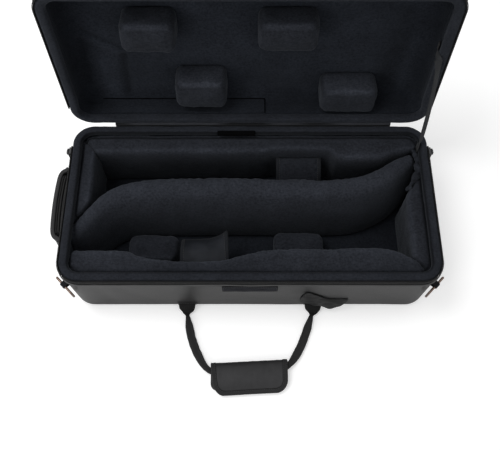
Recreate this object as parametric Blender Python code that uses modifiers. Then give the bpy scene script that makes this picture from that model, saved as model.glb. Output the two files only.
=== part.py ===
"""Double trumpet case with its lid open. Metres, +Z up, origin under the middle of the base."""

import math

import bmesh
import bpy
from mathutils import Vector

# Overall sizes
CASE_LENGTH = 0.575
CASE_WIDTH = 0.266
BASE_HEIGHT = 0.130
LID_DEPTH = 0.070
CORNER_RADIUS = 0.034
BASE_EDGE_RADIUS = 0.008
LID_EDGE_RADIUS = 0.014
GAP = 0.0003
SEAM_JOIN = 0.00001
HALF_LENGTH = CASE_LENGTH / 2
HALF_WIDTH = CASE_WIDTH / 2
QUARTER_TURN = math.pi / 2

# Lid hinge
LID_OPEN_ANGLE = math.radians(97.5)
HINGE_INSET = 0.0005
HINGE_RISE = 0.0006
HINGE_Y = HALF_WIDTH + HINGE_INSET
HINGE_Z = BASE_HEIGHT + HINGE_RISE
LID_MIDDLE_Y = -HINGE_Y

# Shell layers, from the outside in
COVER_WALL = 0.0020
FRAME_WALL = 0.0040
LINING_WALL = 0.0020
LID_LINING_WALL = 0.0035
CORNER_STEPS = 6
EDGE_STEPS = 3
ROUND_PROFILE_SHARE = 0.5

# Padded rim rolls
ROLL_WIDTH = 0.0142
ROLL_HEIGHT = 0.0130
ROLL_INSET = 0.0020
ROLL_POWER = 0.62
ROLL_SIDES = 12
LID_ROLL_LOW = 0.0004
ROLL_LOW = BASE_HEIGHT - ROLL_HEIGHT
BASE_WALL_TOP = ROLL_LOW - GAP
LID_WALL_LOW = LID_ROLL_LOW + ROLL_HEIGHT + GAP

# Inside faces
BASE_STACK = COVER_WALL + FRAME_WALL + LINING_WALL + GAP + GAP
LID_STACK = COVER_WALL + FRAME_WALL + LID_LINING_WALL + GAP + GAP
INNER_HALF_LENGTH = HALF_LENGTH - BASE_STACK
INNER_HALF_WIDTH = HALF_WIDTH - BASE_STACK
INNER_CORNER = CORNER_RADIUS - BASE_STACK
FLOOR_PAD_HEIGHT = 0.0060
FLOOR_TOP = BASE_STACK + GAP + FLOOR_PAD_HEIGHT
PAD_LOW = FLOOR_TOP + GAP
LID_CEILING = LID_DEPTH - LID_STACK
CEILING_PAD_HEIGHT = 0.0040
CEILING_PAD_LOW = LID_CEILING - GAP - CEILING_PAD_HEIGHT
LID_INNER_HALF_LENGTH = HALF_LENGTH - LID_STACK
LID_INNER_HALF_WIDTH = HALF_WIDTH - LID_STACK
LID_INNER_CORNER = CORNER_RADIUS - LID_STACK

# Zipper, with its heights measured down from the rim
TAPE_INSET = 0.0017
TAPE_WALL = 0.0012
TAPE_FOOT_DROP = 0.0127
TAPE_HEAD_DROP = 0.0004
COIL_FOOT_DROP = 0.0055
COIL_HEAD_DROP = 0.0015
TAPE_LOW = BASE_HEIGHT - TAPE_FOOT_DROP
TAPE_TOP = BASE_HEIGHT - TAPE_HEAD_DROP
COIL_LOW = BASE_HEIGHT - COIL_FOOT_DROP
COIL_TOP = BASE_HEIGHT - COIL_HEAD_DROP
COIL_PROUD = 0.0014
COIL_CHAMFER = 0.0006
TAPE_END_INSET = 0.0380
TAPE_END_Y = HALF_WIDTH - TAPE_END_INSET
PIPING_FOOT_DROP = 0.0175
PIPING_HEAD_DROP = 0.0132
PIPING_LOW = BASE_HEIGHT - PIPING_FOOT_DROP
PIPING_TOP = BASE_HEIGHT - PIPING_HEAD_DROP
PIPING_PROUD = 0.0020
PIPING_SHARES = ((0, 0), (0.7, 0.08), (1, 0.35), (1, 0.65), (0.7, 0.92), (0, 1))

# Zipper sliders and pulls
SLIDER_INSET = 0.0470
SLIDER_Y = HALF_WIDTH - SLIDER_INSET
SLIDER_LENGTH = 0.0120
SLIDER_FOOT_DROP = 0.0071
SLIDER_LOW = BASE_HEIGHT - SLIDER_FOOT_DROP
SLIDER_TOP = BASE_HEIGHT
SLIDER_LIP = 0.0011
SLIDER_LIP_START = -0.0002
SLIDER_PLATE_IN = 0.0013
SLIDER_PLATE_OUT = 0.0027
BRIDGE_OUT = 0.0054
BRIDGE_RADIUS = 0.0009
BRIDGE_HALF = 0.0042
BRIDGE_LEG = 0.0012
BRIDGE_LEG_HALF_HEIGHT = 0.0014
BRIDGE_LEG_END = 0.0066
PULL_EYE_RADIUS = 0.0021
PULL_EYE_HALF = 0.0026
PULL_BORE_RADIUS = 0.00125
PULL_LENGTH = 0.0250
PULL_HALF_WIDTH = 0.0036
PULL_WALL = 0.0016
PULL_EDGE = 0.0005
SLIDER_MIDDLE_Z = (SLIDER_LOW + SLIDER_TOP) / 2

# Fabric hinge strip: (y, z) from the hinge axis
HINGE_STRIP_INSET = 0.0575
HINGE_STRIP_HALF = HALF_LENGTH - HINGE_STRIP_INSET
HINGE_STRIP_WALL = 0.0010
HINGE_STRIP_PATH = (
    (-0.0018, -0.0130), (-0.0018, -0.0066), (-0.0017, -0.0012), (-0.0009, 0.0008),
    (0.0010, 0.0016), (0.0055, 0.0011), (0.0115, 0.0003),
)

# Pads along the base walls, in plan: (outer x, outer y, inner x, inner y) as shares of the inner half sizes
PAD_DROP = 0.0135
PAD_TOP = BASE_HEIGHT - PAD_DROP
PAD_PROFILE_SHARES = (
    (0.03, 0.0), (0.50, 0.0), (0.93, 0.0), (1.0, 0.12), (1.03, 0.5),
    (1.03, 0.86), (0.95, 0.99), (0.62, 1.035), (0.27, 1.0), (0.0, 0.93), (0.0, 0.5),
)
BACK_PAD_SHARES = (
    (-0.9681, 0.9373, -0.8964, 0.7436), (-0.9322, 0.9823, -0.8713, 0.7355),
    (-0.8426, 0.9952, -0.8067, 0.7315), (-0.5378, 0.9952, -0.5378, 0.7315),
    (-0.1793, 0.9952, -0.1793, 0.7331), (0.0717, 0.9952, 0.0717, 0.7436),
    (0.1362, 0.9952, 0.1362, 0.7677), (0.4267, 0.9952, 0.4267, 0.7677),
    (0.4697, 0.9952, 0.4697, 0.7516), (0.5163, 0.9952, 0.5163, 0.6632),
    (0.6382, 0.9952, 0.6382, 0.6350), (0.7601, 0.9952, 0.7601, 0.6471),
    (0.8354, 0.9952, 0.8426, 0.7275), (0.9179, 0.9920, 0.9322, 0.7677),
    (0.9788, 0.9124, 0.9896, 0.7958),
)
FRONT_PAD_SHARES = (
    (-0.9771, -0.9164, -0.9946, -0.6592), (-0.9322, -0.9823, -0.9394, -0.6350),
    (-0.8032, -0.9952, -0.8032, -0.6350), (-0.6633, -0.9952, -0.6633, -0.6431),
    (-0.6060, -0.9952, -0.6060, -0.6994), (-0.4554, -0.9952, -0.4554, -0.7556),
    (-0.3012, -0.9952, -0.3012, -0.7717), (-0.1506, -0.9952, -0.1506, -0.7556),
    (-0.0359, -0.9952, -0.0359, -0.6913), (0.1362, -0.9952, 0.1362, -0.6190),
    (0.4016, -0.9952, 0.4016, -0.6190), (0.7099, -0.9952, 0.7099, -0.6029),
    (0.8426, -0.9952, 0.8067, -0.6511), (0.9322, -0.9823, 0.8605, -0.7074),
    (0.9674, -0.9389, 0.8785, -0.7275),
)
LEFT_PAD_SHARES = (
    (-0.9982, -0.2492, -0.9107, -0.0281), (-0.9982, -0.0402, -0.9053, 0.0965),
    (-0.9982, 0.3215, -0.9035, 0.3215), (-0.9982, 0.6431, -0.9018, 0.5868),
    (-0.9896, 0.8441, -0.9010, 0.6833), (-0.9731, 0.9204, -0.9007, 0.7275),
)
RIGHT_PAD_SHARES = (
    (0.9724, -0.9244, 0.8849, -0.7114), (0.9896, -0.8521, 0.8856, -0.6592),
    (0.9982, -0.6431, 0.8863, -0.5627), (0.9982, -0.2412, 0.8863, -0.2412),
    (0.9982, 0.1608, 0.8856, 0.0161), (0.9982, 0.4502, 0.8892, 0.1206),
)
PAD_END_SHARE = 0.90
PAD_END_STEP_SHARE = 0.12

# Curved divider in plan: (rear x, rear y, front x, front y) as shares of the inner half sizes
DIVIDER_DROP = 0.0115
DIVIDER_TOP = BASE_HEIGHT - DIVIDER_DROP
DIVIDER_PROFILE_SHARES = (
    (0.04, 0.0), (0.50, 0.0), (0.96, 0.0), (1.01, 0.07), (0.96, 0.30), (0.80, 0.60),
    (0.64, 0.85), (0.54, 0.98), (0.30, 1.035), (0.06, 1.0), (-0.03, 0.86), (-0.01, 0.5), (0.0, 0.1),
)
DIVIDER_SHARES = (
    (-0.9950, -0.3215, -0.9932, -0.5828), (-0.9466, -0.1849, -0.9215, -0.5346),
    (-0.8928, -0.0402, -0.8534, -0.3939), (-0.8211, 0.1206, -0.7745, -0.2492),
    (-0.7207, 0.2492, -0.6777, -0.1688), (-0.5916, 0.3175, -0.5593, -0.1447),
    (-0.3944, 0.3360, -0.3944, -0.1367), (-0.0825, 0.3416, -0.0825, -0.1286),
    (0.2151, 0.3296, 0.2151, -0.1367), (0.4195, 0.3175, 0.4482, -0.1367),
    (0.5737, 0.3457, 0.6167, -0.1045), (0.6848, 0.4100, 0.7422, 0.0),
    (0.7709, 0.5145, 0.8462, 0.1447), (0.8462, 0.6230, 0.9251, 0.3215),
    (0.9394, 0.7154, 0.9842, 0.5145),
)
# How far each station's top dips, so that the ends pass under the rim roll
DIVIDER_DIPS = (
    0.0075, 0.0045, 0.0, 0.0, 0.0, 0.0, 0.0, 0.0,
    0.0, 0.0, 0.0, 0.0, 0.0, 0.0025, 0.0075,
)

# Floor blocks: (low x, high x, low y, high y) as shares of the inner half sizes
# Lid blocks: the same, with y from the hinge as shares of the case's width
FLOOR_BLOCK_TOP = 0.0500
FLOOR_BLOCK_SHARES = (
    ("floor_block_front_left", (-0.7099, -0.4231, -0.5627, -0.2106)),
    ("floor_block_front_right", (0.1398, 0.4338, -0.5305, -0.1736)),
    ("floor_block_rear_left", (-0.4338, -0.1542, 0.3698, 0.6913)),
    ("floor_block_rear_right", (0.4087, 0.6454, 0.4019, 0.6109)),
)
LID_BLOCK_TOP = 0.0165
LID_BLOCK_SHARES = (
    ("lid_block_far_left", (-0.6633, -0.3857, 0.5639, 0.7519)),
    ("lid_block_near_left", (-0.4182, -0.1370, 0.0940, 0.2820)),
    ("lid_block_far_right", (0.0469, 0.3497, 0.5639, 0.7519)),
    ("lid_block_near_right", (0.4074, 0.7210, 0.0526, 0.2331)),
)
BLOCK_LEVEL_SHARES = ((0.0, 0.95), (0.12, 1.0), (0.55, 1.02), (0.88, 0.97), (1.0, 0.84))
BLOCK_CROWN = 0.0035
BLOCK_CORNER = 0.0100

# Neck straps: the sewn edge as shares of the inner half sizes, and the line as shares of the reach
NECK_STRAP_WALL = 0.0030
NECK_STRAP_COLUMNS = 6
NECK_STRAP_FRONT_X_SHARES = (-0.3872, -0.1291)
NECK_STRAP_FRONT_Y_SHARE = -0.7114
NECK_STRAP_FRONT_REACH_SHARE = 0.4260
NECK_STRAP_FRONT_DROP = 0.0420
NECK_STRAP_FRONT_SHARES = (
    (0.000, 0.000), (0.151, 0.066), (0.377, 0.085), (0.623, 0.038), (0.830, -0.075), (1.000, -0.245),
)
NECK_STRAP_SETBACK_SHARES = (0.083, 0.098, 0.105, 0.098, 0.085, 0.070, 0.032)
NECK_STRAP_CURL_RISE_SHARE = 0.151
NECK_STRAP_CURL_REACH_SHARE = 0.094
NECK_STRAP_CURL_ALONG = 2
NECK_STRAP_CURL_ACROSS = 4
NECK_STRAP_REAR_X_SHARES = (0.1578, 0.4195)
NECK_STRAP_REAR_Y_SHARE = 0.7476
NECK_STRAP_REAR_REACH_SHARE = 0.2854
NECK_STRAP_REAR_DROP = 0.0400
NECK_STRAP_REAR_SHARES = (
    (0.0, 0.0), (0.225, 0.028), (0.563, -0.113), (0.817, -0.380), (0.944, -0.592), (1.0, -0.803),
)

# Front handle, in the frame of its swing axis
HANDLE_ANCHOR_X = 0.1020
HANDLE_AXIS_OUT = 0.0036
HANDLE_AXIS_Y = -HALF_WIDTH - HANDLE_AXIS_OUT
HANDLE_AXIS_Z = 0.0135
ANCHOR_HALF_WIDTH = 0.0170
ANCHOR_LOW = 0.0110
ANCHOR_TOP = 0.0250
ANCHOR_WALL = 0.0024
# Strand stations: (x, y, z, half width, half thickness)
HANDLE_STRAND_STATIONS = (
    (0.1020, 0.0, 0.0, 0.0140, 0.0007), (0.1020, -0.0080, -0.0065, 0.0135, 0.0011),
    (0.0985, -0.0160, -0.0112, 0.0110, 0.0016), (0.0950, -0.0240, -0.0103, 0.0070, 0.0028),
    (0.0905, -0.0340, -0.0097, 0.0052, 0.0034), (0.0850, -0.0500, -0.0095, 0.0050, 0.0035),
    (0.0790, -0.0680, -0.0090, 0.0050, 0.0035), (0.0720, -0.0850, -0.0075, 0.0050, 0.0032),
    (0.0640, -0.0970, -0.0055, 0.0048, 0.0028), (0.0540, -0.1030, -0.0054, 0.0050, 0.0026),
)
STRAND_SHARES = ((1, 0), (0.8, -0.8), (0, -1), (-0.8, -0.8), (-1, 0), (-0.8, 0.8), (0, 1), (0.8, 0.8))
GRIP_HALF_LENGTH = 0.0600
GRIP_CORNER = 0.0045
GRIP_WALL = 0.0036
# Grip wrap section, (y, z) in the same frame, from the lower free edge round the fold to the upper one
GRIP_PATH = (
    (-0.1290, -0.0107), (-0.1200, -0.0109), (-0.1080, -0.0111), (-0.0970, -0.0109),
    (-0.0905, -0.0087), (-0.0886, -0.0053), (-0.0905, -0.0017), (-0.0970, 0.0002),
    (-0.1080, 0.0003), (-0.1200, -0.0015), (-0.1300, -0.0045), (-0.1365, -0.0065),
)
GRIP_COLUMNS = 8
HANDLE_FLAP_ROWS = (
    (0.0800, 0.0300, 0.0500, 0.0004), (0.0880, 0.0275, 0.0780, 0.0026), (0.1000, 0.0270, 0.0690, 0.0044),
    (0.1130, 0.0265, 0.0540, 0.0056), (0.1240, 0.0070, 0.0460, 0.0095), (0.1350, 0.0040, 0.0430, 0.0100),
    (0.1460, 0.0120, 0.0430, 0.0055), (0.1560, 0.0300, 0.0420, 0.0004),
)
HANDLE_FLAP_SHARES = ((0.0, 0.70), (0.2, 1.0), (0.5, 0.85), (0.8, 0.45), (1.0, 0.0))
HANDLE_FLAP_WALL = 0.0014

# End grab handle on the left wall: (distance along the wall, distance off the wall)
END_HANDLE_Y = 0.0090
END_HANDLE_Z_SHARE = 0.6
END_HANDLE_Z = BASE_HEIGHT * END_HANDLE_Z_SHARE
END_HANDLE_HEIGHT = 0.0340
END_HANDLE_WALL = 0.0056
END_PLATE_WALL = 0.0030
END_PLATE_HALF = 0.0630
END_BLOCK_LENGTH = 0.0150
END_BLOCK_RISE = 0.0060
END_HANDLE_PATH = (
    (0.0640, 0.0125), (0.0500, 0.0128), (0.0420, 0.0180), (0.0320, 0.0250), (0.0160, 0.0290),
    (0.0, 0.0302), (-0.0160, 0.0290), (-0.0320, 0.0250), (-0.0420, 0.0180), (-0.0500, 0.0128),
    (-0.0640, 0.0125),
)
STRAP_EDGE_SHARES = (
    (0.62, -1), (1, -0.90), (1, 0.90), (0.62, 1), (-0.62, 1), (-1, 0.90), (-1, -0.90), (-0.62, -1),
)

# Corner rings
RING_WIRE = 0.0018
RING_HALF_WIDTH = 0.0170
RING_DROP = 0.0330
RING_AXIS_OUT = 0.0400
RING_AXIS_DROP = 0.0340
RING_AXIS_Z = BASE_HEIGHT - RING_AXIS_DROP
RING_BEND_STEPS = 8
TAB_HALF_WIDTH = 0.0125
TAB_RISE = 0.0150
TAB_TOP = RING_AXIS_Z + TAB_RISE
TAB_OUT = 0.0372
TAB_IN = 0.0300
TAB_EYE_RADIUS = 0.0040
TAB_BORE_RADIUS = 0.0022
EYE_SIDES = 16
CORNER_CUT_SIDES = 64
BORE_CUT_HALF = 0.0300

# Stay strap: (in from the case's end, y from the hinge axis, z from it), and the direction of its width
STAY_HALF_WIDTH = 0.0058
STAY_HALF_WALL = 0.0007
STAY_LID_DISTANCE = 0.1500
STAY_PATCH_INSET = 0.0022
STAY_X = LID_INNER_HALF_LENGTH - STAY_PATCH_INSET
STAY_PATCH_LOW = 0.0217
STAY_PATCH_HIGH = 0.0290
STAY_PATCH_HALF = 0.0072
STAY_PATCH_WALL = 0.0012
STAY_PATH = (
    (0.0111, 0.0459, 0.1452), (0.0112, 0.0400, 0.1460), (0.0153, 0.0355, 0.1466), (0.0177, 0.0320, 0.1470),
    (0.0179, 0.0235, 0.1482), (0.0177, 0.0180, 0.1474), (0.0173, 0.0145, 0.1414), (0.0171, 0.0095, 0.1304),
    (0.0177, -0.0005, 0.1024), (0.0182, -0.0145, 0.0594), (0.0185, -0.0275, 0.0214),
    (0.0183, -0.0375, 0.0064),
    (0.0178, -0.0400, -0.0016), (0.0176, -0.0405, -0.0111),
)
STAY_WIDTH_SHARES = (
    (0.0, 0.13, 0.99), (0.0, 0.13, 0.99), (0.0, 0.13, 0.99), (0.0, 0.13, 0.99), (0.0, 0.16, 0.98),
    (0.0, 0.45, 0.88), (0.0, 0.80, 0.60), (0.20, 0.92, 0.35), (0.50, 0.81, 0.30), (0.62, 0.74, 0.26),
    (0.50, 0.84, 0.20), (0.0, 1.0, 0.0), (0.0, 1.0, 0.0), (0.0, 1.0, 0.0),
)

# Flat trims
FRONT_PATCH_HALF = 0.0420
FRONT_PATCH_FOOT_DROP = 0.0440
FRONT_PATCH_HEAD_DROP = 0.0210
FRONT_PATCH_LOW = BASE_HEIGHT - FRONT_PATCH_FOOT_DROP
FRONT_PATCH_TOP = BASE_HEIGHT - FRONT_PATCH_HEAD_DROP
FRONT_PATCH_WALL = 0.0014
RIM_TAG_X = (-0.0530, 0.0080)
RIM_TAG_WALL = 0.0006
RIM_TAG_ANGLES = (100, 125, 150, 172)
LID_FLAP_X_SHARES = (-0.8724, 0.0865)
LID_FLAP_LOW = 0.0160
LID_FLAP_CLEAR = 0.0116
LID_FLAP_HIGH = CEILING_PAD_LOW - LID_FLAP_CLEAR
LID_FLAP_WALL = 0.0020

# Materials: base colour and roughness
COLOURS = {
    "outer_vinyl": ((0.060, 0.060, 0.062), 0.45),
    "plush": ((0.012, 0.013, 0.016), 0.95),
    "board": ((0.300, 0.210, 0.130), 0.80),
    "webbing": ((0.022, 0.022, 0.023), 0.85),
    "zipper_cloth": ((0.050, 0.050, 0.052), 0.70),
    "ring_metal": ((0.620, 0.520, 0.440), 0.30),
    "slider_metal": ((0.150, 0.150, 0.155), 0.40),
    "grip_vinyl": ((0.035, 0.035, 0.037), 0.55),
    "loop_strip": ((0.020, 0.020, 0.022), 0.95),
}


def clear_scene():
    for obj in list(bpy.data.objects):
        bpy.data.objects.remove(obj)


def make_collection(name):
    found = bpy.data.collections.new(name)
    bpy.context.scene.collection.children.link(found)
    return found


def make_material(name):
    """Each piece has its own material, in the colour of what it is made of."""
    colour, roughness = COLOURS[name.split("__")[1]]
    mat = bpy.data.materials.new(name)
    mat.use_nodes = True
    shader = mat.node_tree.nodes["Principled BSDF"]
    shader.inputs["Base Color"].default_value = (*colour, 1)
    shader.inputs["Roughness"].default_value = roughness
    return mat


def add_empty(name, place, parent=None, turn=(0, 0, 0)):
    empty = bpy.data.objects.new(name, None)
    PARTS.objects.link(empty)
    empty.location = place
    empty.rotation_euler = turn
    empty.parent = parent
    return empty


def add_piece(name, mesh, stuff, parent, place=(0, 0, 0), turn=(0, 0, 0), soft=0):
    """Links one sub-part, gives it its material and places it in its parent's frame."""
    obj = bpy.data.objects.new(name, mesh)
    PARTS.objects.link(obj)
    obj.parent = parent
    obj.location = place
    obj.rotation_euler = turn
    mesh.materials.clear()
    mesh.materials.append(make_material(name + "__" + stuff))
    for polygon in mesh.polygons:
        polygon.use_smooth = True
    if soft:
        smoother = obj.modifiers.new("Soften", "SUBSURF")
        smoother.levels = soft
        smoother.render_levels = soft
    return obj


def mesh_from_bmesh(name, bm, outward=False):
    """Outward says that the faces already point out, as those of a primitive do."""
    if not outward:
        bmesh.ops.recalc_face_normals(bm, faces=bm.faces)
    mesh = bpy.data.meshes.new(name)
    bm.to_mesh(mesh)
    bm.free()
    return mesh


def rounded_rectangle(half_x, half_y, radius, steps):
    """Points counter-clockwise from the front end of the right side's first corner."""
    points = []
    corners = ((1, -1, -QUARTER_TURN), (1, 1, 0), (-1, 1, QUARTER_TURN), (-1, -1, math.pi))
    for sign_x, sign_y, start in corners:
        for step in range(steps + 1):
            angle = start + QUARTER_TURN * step / steps
            x = sign_x * (half_x - radius) + radius * math.cos(angle)
            y = sign_y * (half_y - radius) + radius * math.sin(angle)
            points.append((x, y))
    return points


def block_bmesh(low, high):
    """A box between two corners."""
    bm = bmesh.new()
    made = bmesh.ops.create_cube(bm)
    size = Vector(high) - Vector(low)
    bmesh.ops.scale(bm, vec=size, verts=made["verts"])
    bmesh.ops.translate(bm, vec=(Vector(high) + Vector(low)) / 2, verts=made["verts"])
    return bm


def cylinder_bmesh(radius, half_depth, sides, axis):
    """A cylinder centred on the origin, along X, Y or Z."""
    bm = bmesh.new()
    bmesh.ops.create_cone(
        bm, cap_ends=True, segments=sides, radius1=radius, radius2=radius, depth=half_depth * 2
    )
    for vert in bm.verts:
        if axis == "X":
            vert.co = Vector((vert.co.z, vert.co.y, -vert.co.x))
        elif axis == "Y":
            vert.co = Vector((vert.co.x, vert.co.z, -vert.co.y))
    return bm


def add_cutter(name, bm, parent, place=(0, 0, 0), turn=(0, 0, 0)):
    obj = bpy.data.objects.new(name, mesh_from_bmesh(name, bm, outward=True))
    CUTTERS.objects.link(obj)
    obj.parent = parent
    obj.location = place
    obj.rotation_euler = turn
    obj.hide_render = True
    obj.display_type = "WIRE"
    return obj


def combine(obj, other, operation):
    step = obj.modifiers.new(operation.title(), "BOOLEAN")
    step.operation = operation
    step.solver = "EXACT"
    step.object = other


def tub_mesh(name, half_x, half_y, corner, closed_z, open_z, edge):
    """An open box with rounded upright corners and a rounded closed end, as a bare surface."""
    low = min(closed_z, open_z)
    high = max(closed_z, open_z)
    bm = block_bmesh((-half_x, -half_y, low), (half_x, half_y, high))
    upright = [e for e in bm.edges if abs(e.verts[0].co.z - e.verts[1].co.z) > GAP]
    round_edge = {"affect": "EDGES", "profile": ROUND_PROFILE_SHARE}
    bmesh.ops.bevel(bm, geom=upright, offset=corner, segments=CORNER_STEPS, **round_edge)
    rim = [e for e in bm.edges if all(abs(v.co.z - closed_z) < GAP for v in e.verts)]
    bmesh.ops.bevel(bm, geom=rim, offset=edge, segments=EDGE_STEPS, **round_edge)
    mouth = [f for f in bm.faces if all(abs(v.co.z - open_z) < GAP for v in f.verts)]
    bmesh.ops.delete(bm, geom=mouth, context="FACES_ONLY")
    return mesh_from_bmesh(name, bm)


def add_tub(name, inset, wall, closed_z, open_z, edge, stuff, parent, middle_y=0):
    mesh = tub_mesh(
        name, HALF_LENGTH - inset, HALF_WIDTH - inset, CORNER_RADIUS - inset, closed_z, open_z, edge
    )
    obj = add_piece(name, mesh, stuff, parent, (0, middle_y, 0))
    shell = obj.modifiers.new("Wall", "SOLIDIFY")
    shell.thickness = wall
    shell.offset = -1
    shell.use_even_offset = True
    return obj


def poly_curve(name, points, closed, flat=False):
    data = bpy.data.curves.new(name, "CURVE")
    data.dimensions = "2D" if flat else "3D"
    spline = data.splines.new("POLY")
    spline.points.add(len(points) - 1)
    for knot, point in zip(spline.points, points):
        knot.co = (*point, 1)
    spline.use_cyclic_u = closed
    obj = bpy.data.objects.new(name, data)
    PARTS.objects.link(obj)
    return obj


def curve_to_mesh(name, curve, extra=()):
    """Turns a finished curve into a mesh with its seams joined, and removes the curve."""
    graph = bpy.context.evaluated_depsgraph_get()
    mesh = bpy.data.meshes.new_from_object(curve.evaluated_get(graph))
    for used in (curve, *extra):
        data = used.data
        bpy.data.objects.remove(used)
        bpy.data.curves.remove(data)
    bm = bmesh.new()
    bm.from_mesh(mesh)
    bpy.data.meshes.remove(mesh)
    bmesh.ops.remove_doubles(bm, verts=bm.verts, dist=SEAM_JOIN)
    return mesh_from_bmesh(name, bm)


def sweep_mesh(name, path, profile, closed):
    """Carries a flat section along a level path: section x points out of a counter-clockwise path, y up."""
    track = poly_curve(name + "_track", path, closed)
    section = poly_curve(name + "_section", [(x, y, 0) for x, y in profile], True, flat=True)
    track.data.bevel_mode = "OBJECT"
    track.data.bevel_object = section
    track.data.twist_mode = "Z_UP"
    track.data.use_fill_caps = not closed
    return curve_to_mesh(name, track, (section,))


def wire_mesh(name, path, radius, closed):
    track = poly_curve(name + "_track", path, closed)
    track.data.bevel_depth = radius
    track.data.bevel_resolution = 2
    track.data.use_fill_caps = not closed
    return curve_to_mesh(name, track)


def loft_mesh(name, rings):
    """Skins closed rings that follow one another, and closes both ends."""
    bm = bmesh.new()
    rows = [[bm.verts.new(point) for point in ring] for ring in rings]
    for near, far in zip(rows, rows[1:]):
        for i in range(len(near)):
            j = (i + 1) % len(near)
            bm.faces.new((near[i], near[j], far[j], far[i]))
    bm.faces.new(list(reversed(rows[0])))
    bm.faces.new(rows[-1])
    return mesh_from_bmesh(name, bm)


def add_sheet(name, rows, wall, stuff, parent, place=(0, 0, 0), side=0):
    """A cloth or leather piece: a grid surface thickened with Solidify."""
    bm = bmesh.new()
    grid = [[bm.verts.new(point) for point in row] for row in rows]
    for near, far in zip(grid, grid[1:]):
        for i in range(len(near) - 1):
            bm.faces.new((near[i], near[i + 1], far[i + 1], far[i]))
    mesh = bpy.data.meshes.new(name)
    bm.to_mesh(mesh)
    bm.free()
    obj = add_piece(name, mesh, stuff, parent, place)
    shell = obj.modifiers.new("Wall", "SOLIDIFY")
    shell.thickness = wall
    shell.offset = side
    shell.use_even_offset = True
    return obj


def rim_path(inset, height):
    outline = rounded_rectangle(HALF_LENGTH - inset, HALF_WIDTH - inset, CORNER_RADIUS - inset, CORNER_STEPS)
    return [(x, y, height) for x, y in outline]


def open_rim_path(inset, height):
    """The rim from the back of the left side, round the front, to the back of the right side."""
    outline = rounded_rectangle(HALF_LENGTH - inset, HALF_WIDTH - inset, CORNER_RADIUS - inset, CORNER_STEPS)
    corner = CORNER_STEPS + 1
    left = outline[3 * corner :]
    right = outline[:corner]
    start = (-(HALF_LENGTH - inset), TAPE_END_Y)
    end = (HALF_LENGTH - inset, TAPE_END_Y)
    return [(x, y, height) for x, y in [start, *left, *right, end]]


def roll_section():
    """The rim roll's rounded section about its own middle."""
    points = []
    for i in range(ROLL_SIDES):
        angle = math.pi * (2 * i + 1) / ROLL_SIDES
        x = math.copysign(abs(math.cos(angle)) ** ROLL_POWER, math.cos(angle)) * ROLL_WIDTH / 2
        y = math.copysign(abs(math.sin(angle)) ** ROLL_POWER, math.sin(angle)) * ROLL_HEIGHT / 2
        points.append((x, y))
    return points


def build_shells(base, lid):
    outer_layers = (("cover", COVER_WALL, "outer_vinyl"), ("frame", FRAME_WALL, "board"))
    inset = 0
    for part, wall, stuff in (*outer_layers, ("lining", LINING_WALL, "plush")):
        add_tub("base_" + part, inset, wall, inset, BASE_WALL_TOP, BASE_EDGE_RADIUS - inset, stuff, base)
        inset += wall + GAP
    inset = 0
    for part, wall, stuff in (*outer_layers, ("lining", LID_LINING_WALL, "plush")):
        top = LID_DEPTH - inset
        edge = LID_EDGE_RADIUS - inset
        add_tub("lid_" + part, inset, wall, top, LID_WALL_LOW, edge, stuff, lid, LID_MIDDLE_Y)
        inset += wall + GAP


def build_rolls(base, lid):
    inset = ROLL_INSET + ROLL_WIDTH / 2
    section = roll_section()
    height = ROLL_LOW + ROLL_HEIGHT / 2
    mesh = sweep_mesh("base_rim_roll", rim_path(inset, height), section, True)
    add_piece("base_rim_roll", mesh, "plush", base)
    height = LID_ROLL_LOW + ROLL_HEIGHT / 2
    mesh = sweep_mesh("lid_rim_roll", rim_path(inset, height), section, True)
    add_piece("lid_rim_roll", mesh, "plush", lid, (0, LID_MIDDLE_Y, 0))


def tape_section(turn_over):
    """The zipper tape with its coil, as (outwards, height); the lid's is the base's turned over."""
    points = [
        (0, TAPE_LOW),
        (TAPE_WALL, TAPE_LOW),
        (TAPE_WALL, COIL_LOW),
        (TAPE_WALL + COIL_PROUD, COIL_LOW + COIL_CHAMFER),
        (TAPE_WALL + COIL_PROUD, COIL_TOP - COIL_CHAMFER),
        (TAPE_WALL, COIL_TOP),
        (TAPE_WALL, TAPE_TOP),
        (0, TAPE_TOP),
    ]
    if turn_over:
        points = [(x, BASE_HEIGHT - y + LID_ROLL_LOW) for x, y in reversed(points)]
    return points


def piping_section(turn_over):
    rise = PIPING_TOP - PIPING_LOW
    points = [(GAP + PIPING_PROUD * out, PIPING_LOW + rise * up) for out, up in PIPING_SHARES]
    if turn_over:
        points = [(x, BASE_HEIGHT - y + LID_ROLL_LOW) for x, y in reversed(points)]
    return points


def build_zipper(base, lid):
    for part, parent, middle, over in (("base", base, 0, False), ("lid", lid, LID_MIDDLE_Y, True)):
        name = part + "_zipper_tape"
        mesh = sweep_mesh(name, open_rim_path(TAPE_INSET, 0), tape_section(over), False)
        add_piece(name, mesh, "zipper_cloth", parent, (0, middle, 0))
        name = part + "_piping"
        mesh = sweep_mesh(name, open_rim_path(0, 0), piping_section(over), False)
        add_piece(name, mesh, "outer_vinyl", parent, (0, middle, 0))


def build_hinge_strip(base):
    rows = []
    for y, z in HINGE_STRIP_PATH:
        rows.append([(x, HINGE_Y + y, HINGE_Z + z) for x in (-HINGE_STRIP_HALF, 0, HINGE_STRIP_HALF)])
    add_sheet("hinge_strip", rows, HINGE_STRIP_WALL, "webbing", base)


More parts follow.
